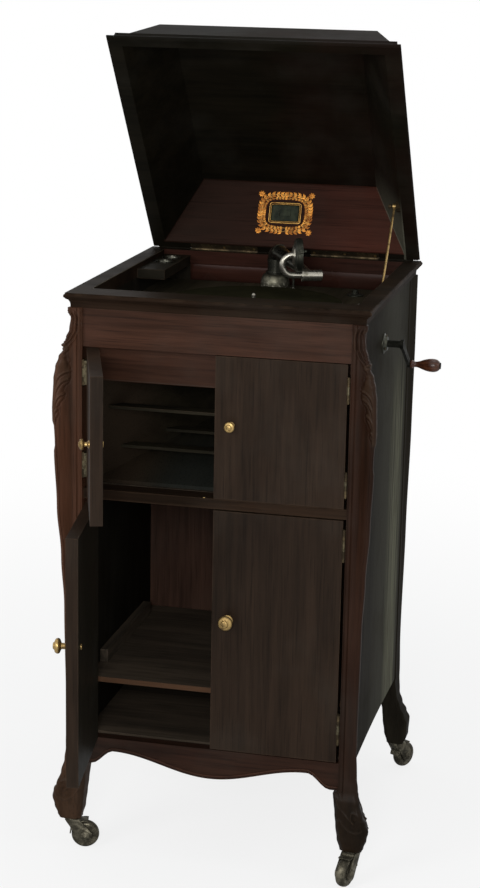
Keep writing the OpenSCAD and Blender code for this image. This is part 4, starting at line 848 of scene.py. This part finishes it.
# Right-hand post with its front at -y: a ring of points for each height. The ring runs along the front face from
# the inner edge to the corner, round it, along the side to the back, and home; the corner swells by the keys.
def postGrid(keys, isCarved):
    z = np.unique(np.concatenate([np.arange(*run) for run in post["rowZ"]] + [[post["headZ"]]]))
    above = z - post["footZ"]
    outer = eased(keys, z, 1)
    proud = eased(keys, z, 2)
    legInside = post["legInside" if isCarved else "rearInside"]
    inside = np.where(z <= post["legTop"], eased(legInside, np.clip(above, 0, legInside[-1][0]), 1), 0.0)
    isLeg = np.clip((200 - z) / 40, 0, 1)
    legBack = post["legBack" if isCarved else "rearBack"]
    backIn = np.where(z < post["panelFoot"], np.interp(above, *zip(*legBack)) - 0.2, post["depth"])
    innerProud = np.where(z > 180, np.minimum(proud, 7.5), np.minimum(proud, 7.5 + 6 * isLeg))
    radius = 6.0 + 3.5 * isLeg
    innerR = 1.2 + 6.5 * np.clip((post["legTop"] - z) / 30, 0, 1)
    x0 = post["sideIn"] - inside
    x1 = post["sideIn"] + outer
    fade = np.clip((z - 150) / 60, 0, 1)
    slope = math.tan(math.radians(post["lean"]))
    leaned = 1.053 * outer - 1.3 - slope * (backIn + 12) if isCarved else outer
    leaned = np.minimum(outer, leaned)
    xBack = post["sideIn"] + leaned + fade * (np.minimum(outer, post["panel"] + 1.5) - leaned)
    backR = 2.0 + 7.0 * np.clip((170 - z) / 30, 0, 1)
    rows = len(z)
    u = np.linspace(0, 1, post["frontColumns"])[None, :]
    a = np.linspace(0, math.pi / 2, post["cornerColumns"] + 2)[None, 1:-1]
    w = np.linspace(0, 1, post["sideColumns"])[None, :]

    def col(v):
        return np.asarray(v)[:, None] + np.zeros((rows, 1))

    zc = col(z)
    fx = col(x0 + innerR) + u * col(x1 - radius - x0 - innerR)
    ease = np.clip((fx - col(x0) - 12) / (col(x1) - col(x0) - 14), 0, 1)
    ease = ease * ease * (3 - 2 * ease)
    fy = -(col(innerProud) + (col(proud) - col(innerProud)) * ease)
    cx = col(x1 - radius) + col(radius) * np.sin(a)
    cy = -(col(proud) - col(radius)) - col(radius) * np.cos(a)
    sy = -(col(proud) - col(radius)) + w * (col(backIn) - 2 + col(proud) - col(radius))
    lean = np.clip(w * 1.25, 0, 1)
    lean = lean * lean * (3 - 2 * lean)
    lean = lean + col(np.clip((175 - z) / 30, 0, 1)) * (w - lean)
    sx = col(x1) + (col(xBack) - col(x1)) * lean
    b = np.linspace(0, 1, post["backColumns"])[None, :]
    arc = b[:, 1:-1] * math.pi / 2
    bx = col(xBack) - 2 + b * (col(x0 + backR) - col(xBack) + 2)
    by = col(backIn) + np.zeros_like(b)
    rx = col(x0 + backR) - col(backR) * np.sin(arc)
    ry = col(backIn - backR) + col(backR) * np.cos(arc)
    bx = np.concatenate([bx, rx], 1)
    by = np.concatenate([by, ry], 1)
    ix = col(x0) + np.zeros_like(b)
    iy = col(backIn - backR) + b * (-(col(innerProud)) + col(innerR) - col(backIn - backR))
    x = np.concatenate([fx, cx, sx, bx, ix], 1)
    y = np.concatenate([fy, cy, sy, by, iy], 1)
    counts = [v.shape[1] for v in (fx, cx, sx)]
    rest = x.shape[1] - sum(counts)
    nx = np.concatenate([np.zeros((1, counts[0])), np.sin(a), np.ones((1, counts[2])), np.zeros((1, rest))], 1)
    ny = np.concatenate([-np.ones((1, counts[0])), -np.cos(a), np.zeros((1, counts[2] + rest))], 1)
    lift = np.zeros_like(x)
    if isCarved:
        away = [np.full_like(bx, 99), np.full_like(ix, 99)]
        q = np.concatenate([col(x1) - fx, np.full_like(cx, 2.0), 2.0 + (sy - sy[:, :1]), *away], 1)
        lift = carving(q, zc)
        # a bead between two thin grooves along the inner edge
        inner = np.concatenate([fx - post["sideIn"], np.full((rows, x.shape[1] - counts[0]), 99.0)], 1)
        strip = np.clip((zc - 150) / 10, 0, 1)
        lift = lift + strip * (0.6 * gauss(inner - 4.2, 1.6) - 1.6 * gauss(inner - 8.2, 0.8)
                               - 0.9 * gauss(inner - 1.4, 0.6))
    low = np.clip(lift, -2.2, 3.2)
    x = x + nx * (low - 1.6 * (lift != 0))
    y = y + ny * (low - 1.6 * (lift != 0))
    grid = np.stack([x, y, zc + np.zeros_like(x)], -1)
    return grid, np.clip(0.5 + lift / 6.0, 0, 1)


def buildPosts():
    plainWood = makeWood("sideWood", "z", name="rearPostWood", seed=5.5, tint=1.15)
    for name, isCarved, foot, head, node in (("carvedFrontPosts", True, "footKeys", "headKeys", "front_posts"),
                                             ("plainRearPosts", False, "rearFootKeys", "rearHeadKeys", "rear_posts")):
        keys = [(post["footZ"] + a, b, c) for a, b, c in post[foot]]
        keys += [(post["headZ"] - a, b, c) for a, b, c in post[head]]
        grid, relief = postGrid(keys, isCarved)
        grid[..., 1] = grid[..., 1] + post["front"] if isCarved else post["back"] - grid[..., 1]
        left = grid * np.array([-1.0, 1.0, 1.0])
        surface(name, [(grid * mm, not isCarved, relief), (left * mm, isCarved, relief)],
                postWood if isCarved else plainWood, "cabinet", (node,), closeU=True, caps=True)


# Thin beads: along the apron's lower edge, round the top frame's inner lip and under the rail over the horn's mouth
trims = {"apronTop": 211, "drop": 53, "crestX": 168, "crest": 23, "bracket": 48, "end": 207, "halfWidth": 221,
         "apronY": -254.4, "beadUp": 5.5, "beadR": 1.3, "lip": (222.2, -205.2, 236.2), "lipZ": 973.05, "lipR": 0.9,
         "rail": (221, -231.9, 829.6), "railR": 1.7}


def apronEdge(x):
    k = trims
    a = np.abs(x)
    first = k["drop"] + (k["crest"] - k["drop"]) * (1 - np.cos(math.pi * np.clip(a / k["crestX"], 0, 1))) / 2
    t = np.clip((a - k["crestX"]) / (k["end"] - k["crestX"]), 0, 1)
    second = k["crest"] + (k["bracket"] - k["crest"]) * (1 - np.cos(math.pi * t)) / 2
    return k["apronTop"] - np.where(a < k["crestX"], first, second)


# Caster forks in mm, each in its own axes: x along its trail, y across and z up from the floor. The places give
# where each stands and which way it trails, in degrees.
forks = {
    "places": {"front_left": (-246, -244, 15), "front_right": (246, -244, 255), "rear_left": (-240.5, 244, 120),
               "rear_right": (240.5, 244, 60)},
    "axle": (24, 24), "top": 55.4, "cheek": (10.1, 13.0),
    "cheekTop": [(-10.8, 54.6), (12.8, 54.6), (35.2, 29.2)], "cheekArc": (12.8, 25, -140, 16), "toe": [(14.2, 16.2)],
    "crownTop": [(-10.2, 54.4), (12.4, 54.4)], "crownArc": (26.3, 105, 152, 10), "crownOver": 0.2,
    "hoodOuter": (27.2, 172, 78, 24), "hoodInner": (25.4, 78, 172, 24), "hoodOver": 0.7,
    "boss": [(0, 0), (8.4, 0), (8.0, 1.0), (6.6, 2.0), (4.4, 2.6), (3.6, 2.7), (3.4, 3.2), (0, 3.3)],
    "plate": [(0, -3.2), (11.6, -3.2), (12.3, -2.6), (12.4, -0.4), (12.0, 0), (5, 0), (5, 28), (0, 28.4)],
}


# A closed block between y0 and y1 with softened rims, from its outline in (x, z)
def softPrism(outline, y0, y1, rim=0.5):
    q = np.asarray(outline, float)
    mid = q.mean(axis=0)
    reach = np.linalg.norm(q - mid, axis=1).mean()
    rows = []
    for y, inset in ((y0, rim), (y0 + rim, 0), (y1 - rim, 0), (y1, rim)):
        flat = mid + (q - mid) * (1 - inset / reach)
        rows.append(np.stack([flat[:, 0], np.full(len(q), y), flat[:, 1]], -1))
    return np.stack(rows)


def arcPoints(centre, r, start, end, steps):
    # points on an arc in (x, z), from one angle to the other in degrees
    a = np.radians(np.linspace(start, end, steps))
    return np.stack([centre[0] + r * np.cos(a), centre[1] + r * np.sin(a)], -1)


def buildForks():
    # each fork as one casting: two cheeks with hub bosses, a hood over the wheel and a filled crown under the plate
    k = forks
    axle = k["axle"]
    cheek = np.concatenate([k["cheekTop"], arcPoints(axle, *k["cheekArc"]), k["toe"]])
    crown = np.concatenate([k["crownTop"], arcPoints(axle, *k["crownArc"])])
    hood = np.concatenate([arcPoints(axle, *k["hoodOuter"]), arcPoints(axle, *k["hoodInner"])])
    low, high = k["cheek"]
    crownHalf = low + k["crownOver"]
    hoodHalf = low + k["hoodOver"]
    parts = [softPrism(cheek, low, high), softPrism(cheek, -high, -low), softPrism(crown, -crownHalf, crownHalf, 0.2),
             softPrism(hood, -hoodHalf, hoodHalf, 0.4), lathe(k["plate"], (0, 0, k["top"]), (0, 0, 1))]
    parts += [lathe(k["boss"], (axle[0], side * (high - 0.2), axle[1]), (0, side, 0)) for side in (-1, 1)]
    for corner, (x, y, angle) in k["places"].items():
        c = math.cos(math.radians(angle))
        s = math.sin(math.radians(angle))
        grids = [np.stack([x + c * g[..., 0] - s * g[..., 1], y + s * g[..., 0] + c * g[..., 1], g[..., 2]], -1)
                 for g in parts]
        name = "".join(w.title() if i else w for i, w in enumerate(corner.split("_"))) + "Fork"
        surface(name, [(g * mm, False, None) for g in grids], finishes["casterMetal"],
                corner + "_swivel", (corner + "_fork",), True, True)


def crossBead(name, x, y, z, r, wood):
    # a tube across the cabinet through the points x; z is one height, or one for each of them
    line = np.stack([x, np.full_like(x, y), z + 0 * x], -1)
    surface(name, [(tube(line, r) * mm, False, None)], wood, "cabinet", (), True, True)


def buildTrims():
    k = trims
    half, y, z = k["rail"]
    wood = makeWood("wornAndHighlightWood", "x", name="hornRailWood", seed=8.8, tint=0.42)
    crossBead("hornRailBead", np.linspace(-half, half, 60), y, z, k["railR"], wood)
    x = np.linspace(-k["halfWidth"], k["halfWidth"], 121)
    wood = makeWood("friezeWood", "x", name="beadWood", seed=7.7)
    crossBead("apronBead", x, k["apronY"], apronEdge(x) + k["beadUp"], k["beadR"], wood)
    lx, front, rear = k["lip"]
    corners = [(lx, rear), (lx, front), (-lx, front), (-lx, rear)]
    path = []
    for (xa, ya), (xb, yb) in zip(corners[:-1], corners[1:]):
        for t in np.linspace(0.012, 0.988, 24):
            path.append((xa + (xb - xa) * t, ya + (yb - ya) * t, k["lipZ"]))
    # painted highlight: the lip bead's pale colour stands in for the light caught on the inner edge
    worn = makeWood("wornAndHighlightWood", "y", name="lipHighlightWood", seed=4.4)
    surface("lipBead", [(tube(path, k["lipR"], 6) * mm, False, None)], worn, "cabinet", (), True, True)


# A dark strip along the lid's hinge line, painted shade standing in for the shadow in the gap there, and the reddish
# board at the rear of the well
hingeShade = {"half": 236, "y": 253.8, "z": 974.0, "r": 2.1}
lining = {"x": (-171.4, 221.4), "y": (235.2, 237.8), "z": (920.3, 949.6)}


def buildLining():
    # the board's section has a rounded upper edge
    k = hingeShade
    # painted shade: a dark strip put in the hinge line where there is only shadow
    dark = makeWood("lidWood", "x", name="hingeLineWood", seed=2.6)
    crossBead("hingeShadeStrip", np.linspace(-k["half"], k["half"], 40), k["y"], k["z"], k["r"], dark)
    (x0, x1), (y0, y1), (z0, z1) = lining["x"], lining["y"], lining["z"]
    section = [(y1, z0), (y0, z0), (y0, z1 - 1.2), (y0 + 0.4, z1 - 0.4), (y0 + 1.2, z1), (y1, z1)]
    x = np.linspace(x0, x1, 60)
    grid = np.stack([np.array([(v, y, z) for y, z in section]) for v in x])
    wood = makeWood("liningWood", "x", name="wellLiningWood", seed=1.1)
    surface("wellLining", [(grid * mm, True, None)], wood, "cabinet", (), True, True)


# Domed screws with a ring groove, in mm; the lid's are flattened and sunk into their leaf
screws = {
    "lid": {"body": "lid", "x": [-168, -112, -56, 56, 112, 168], "y": -7.2, "flat": 0.16, "sunk": 0.21, "r": 2.7},
    "escutcheon": {"body": "cabinet", "spread": 13.4, "x": 242.8, "y": -50, "z": 882, "r": 2.0},
}
dome = [(1.0, -0.4), (1.0, 0.12), (0.86, 0.30), (0.60, 0.42), (0.42, 0.34), (0.24, 0.46), (0.02, 0.48)]


def scaledDome(r):
    return [(a * r, b * r) for a, b in dome]


def buildScrews():
    k = screws["lid"]
    grids = []
    for x in k["x"]:
        local = lathe(scaledDome(k["r"]), (x, k["y"], 0), (0, 0, -1), 16)
        local[..., 2] = local[..., 2] * k["flat"] + k["sunk"]
        grids.append((lidToWorld(local), False, None))
    surface("lidHingeScrews", grids, finishes["brass"], k["body"], (), True, True)
    k = screws["escutcheon"]
    grids = []
    for a in np.radians([90, 210, 330]):
        centre = (k["x"], k["y"] + k["spread"] * math.cos(a), k["z"] + k["spread"] * math.sin(a))
        grids.append((lathe(scaledDome(k["r"]), centre, (1, 0, 0), 16) * mm, False, None))
    surface("escutcheonScrews", grids, finishes["dullBrass"], k["body"], (), True, True)


# Knob faces turned in rings, and the small ball catch in the rail; faces sit 0.2 mm proud of the CAD knob
knobs = {
    "upper_right_leaf": {"x": 27.75, "z": 772.5, "d": 18, "l": 17, "open": 0},
    "upper_left_leaf": {"x": -27.75, "z": 772.5, "d": 18, "l": 17, "open": doorHinge["upperOpen"]},
    "lower_right_leaf": {"x": 27.75, "z": 442.5, "d": 25, "l": 24, "open": 0},
    "lower_left_leaf": {"x": -27.75, "z": 442.5, "d": 25, "l": 24, "open": doorHinge["lowerOpen"]},
}
knobRings = [(0.305, 0.90), (0.300, 0.915), (0.285, 0.905), (0.255, 0.905), (0.240, 0.925), (0.215, 0.985),
             (0.195, 1.012), (0.170, 1.004), (0.150, 1.012), (0.110, 1.020), (0.060, 1.032), (0.005, 1.036)]
catch = {"place": (-17, -246.5, 646.9), "r": 3.0}


def swung(grid, opened):
    # a left-hand fitting goes round with its open door
    if not opened:
        return grid
    a = -math.radians(opened)
    c = np.array([-doorHinge["x"], doorHinge["y"]]) / mm
    p = grid[..., :2] - c
    out = grid.copy()
    out[..., 0] = p[..., 0] * math.cos(a) - p[..., 1] * math.sin(a) + c[0]
    out[..., 1] = p[..., 0] * math.sin(a) + p[..., 1] * math.cos(a) + c[1]
    return out


def buildKnobs():
    for body, k in knobs.items():
        profile = [(r * k["d"] + 0.2, h * k["l"]) for r, h in knobRings]
        grid = swung(lathe(profile, (k["x"], -254, k["z"]), (0, -1, 0), 32), k["open"])
        surface(body.replace("_leaf", "_knob_face"), [(grid * mm, False, None)], finishes["brass"], body, (),
                True, True)
    grid = lathe(scaledDome(catch["r"]), catch["place"], (0, 0, 1), 20)
    surface("railCatch", [(grid * mm, False, None)], finishes["brass"], "cabinet", (), True, True)


# Gilt laurel border on the lid's rear panel, in mm: x across, p up the panel. Rows of leaves follow rounded
# rectangles round a plain painted field, with a double line inside, scrolls between and a rosette at each corner.
wreath = {"centre": (-3, 62.5), "power": 3.4, "field": (26, 15.5), "lines": [(29.0, 18.5, 1.1), (26.4, 15.9, 0.5)],
          "rows": [(46, 34.5, 40, 8.6, 2.5, 36), (38.5, 27.5, 44, 5.6, 1.6, 26)], "thick": 0.55,
          "scrolls": (42.3, 31.0, 26, 2.5, 0.5), "rosette": (50, 38, 6.4, 2.3)}


def panelPoint(x, p, lift):
    # a point of the rear panel: x across, p up the slope, lift off its face towards the inside of the lid
    n = math.hypot(1, lidHinge["slope"])
    z = p / n
    y = -lidHinge["rearFoot"] / mm - lidHinge["slope"] * z
    return np.stack([x, y - lift / n, z - lift * lidHinge["slope"] / n], -1)


def roundedBox(t, halfX, halfP, power):
    c = np.cos(t)
    s = np.sin(t)
    r = (np.abs(c) ** power + np.abs(s) ** power) ** (-1 / power)
    return halfX * c * r, halfP * s * r


def leafGrid(x, p, angle, length, width):
    # a pointed leaf with a raised midrib, from its stalk at (x, p)
    u = np.linspace(0, 1, 7)[:, None]
    v = np.linspace(-1, 1, 5)[None, :]
    half = width * np.sin(math.pi * u ** 0.75) ** 0.9 * (1 - 0.25 * u) + 0.05
    along = u * length + 0 * v
    across = v * half
    lift = wreath["thick"] * (1 - 0.65 * np.abs(v)) * (0.5 + 0.5 * np.sin(math.pi * u)) + 0.12
    gx = x + along * math.cos(angle) - across * math.sin(angle)
    gp = p + along * math.sin(angle) + across * math.cos(angle)
    return panelPoint(gx, gp, lift + 0 * gx)


def borderPoint(t, halfX, halfP, power):
    # place and heading on a rounded rectangle; the two branches start at the foot and meet at the head
    x, p = roundedBox(t, halfX, halfP, power)
    x2, p2 = roundedBox(t + 0.01, halfX, halfP, power)
    return x, p, math.atan2(p2 - p, x2 - x) + (0 if x > 0 else math.pi)


def buildWreath():
    k = wreath
    cx, cp = k["centre"]
    leaves = []
    lines = []
    for halfX, halfP, count, long, wide, lean in k["rows"]:
        for i in range(count):
            x, p, forward = borderPoint(2 * math.pi * (i + 0.5) / count, halfX, halfP, k["power"])
            for side in (-1, 1):
                leaves.append(leafGrid(cx + x, cp + p, forward + side * math.radians(lean), long, wide))
            leaves.append(leafGrid(cx + x, cp + p, forward, long * 0.8, wide * 0.6))
        t = np.linspace(-math.pi / 2, math.pi * 1.5, 161)
        x, p = roundedBox(t, halfX, halfP, k["power"])
        lines.append(tube(panelPoint(cx + x, cp + p, np.full_like(x, 0.3)), 0.5, 6))
    halfX, halfP, count, r, wire = k["scrolls"]
    for i in range(count):
        x, p, forward = borderPoint(2 * math.pi * i / count, halfX, halfP, k["power"])
        a = forward + np.linspace(0, math.pi * 2.6, 22) * (1 if i % 2 else -1)
        rr = r * np.linspace(1, 0.25, 22)
        gx = cx + x + rr * np.cos(a)
        lines.append(tube(panelPoint(gx, cp + p + rr * np.sin(a), np.full(22, 0.3)), wire, 5))
    halfX, halfP, long, wide = k["rosette"]
    for sx in (-1, 1):
        for sp in (-1, 1):
            for j in range(8):
                angle = 2 * math.pi * j / 8 + 0.3
                leaves.append(leafGrid(cx + sx * halfX * 0.93, cp + sp * halfP * 0.9, angle, long, wide))
    for hx, hp, r in k["lines"]:
        x, p = roundedBox(np.linspace(0, 2 * math.pi, 97), hx, hp, 14.0)
        lines.append(tube(panelPoint(cx + x, cp + p, np.full_like(x, 0.25)), r, 6))
    surface("giltLeaves", [(lidToWorld(g), True, None) for g in leaves], finishes["gilt"], "lid", ())
    surface("giltLines", [(lidToWorld(g), False, None) for g in lines], finishes["giltLine"], "lid", (),
            True, True)
    hx, hp = k["field"]
    r = np.linspace(0.02, 1, 9)[:, None]
    t = np.linspace(0, 2 * math.pi, 64, endpoint=False)[None, :]
    x, p = roundedBox(t, hx, hp, 14.0)
    grid = panelPoint(cx + r * x, cp + r * p, 0.15 + 0.05 * np.cos(r * 9) + 0 * x * r)
    surface("wreathField", [(lidToWorld(grid), True, None)], makePaint(), "lid", (), True, True)


# Turned crank grip, as (distance from the cabinet side's end, radius) in mm: ferrule, neck, bulb and rounded end
grip = {"start": 272.4, "y": 30.1, "z": 832.9,
        "profile": [(0, 4.5), (0, 6.2), (0.8, 6.9), (3.5, 7.0), (5.2, 6.5), (6.0, 5.3), (8.0, 4.7), (11, 4.8),
                    (15, 5.7), (19, 7.2), (23, 8.7), (27, 9.9), (31, 10.8), (35, 11.3), (38.5, 11.4), (42, 11.1),
                    (45, 10.3), (47.5, 9.0), (49.5, 7.2), (50.9, 4.8), (51.6, 2.4), (51.8, 0.1)]}


def buildGrip():
    k = grip
    grid = lathe([(r, h) for h, r in k["profile"]], (k["start"], k["y"], k["z"]), (1, 0, 0), 40)
    surface("turnedCrankGrip", [(grid * mm, False, None)], makeGripWood(), "grip", ("crank_grip",),
            True, True)


buildPosts()
print("posts are carved")
buildForks()
print("caster forks are cast")
buildTrims()
buildLining()
buildScrews()
buildKnobs()
print("trims, screws and knob faces are on")
buildWreath()
buildGrip()
print("the lid has its gilt border, and the crank its grip")
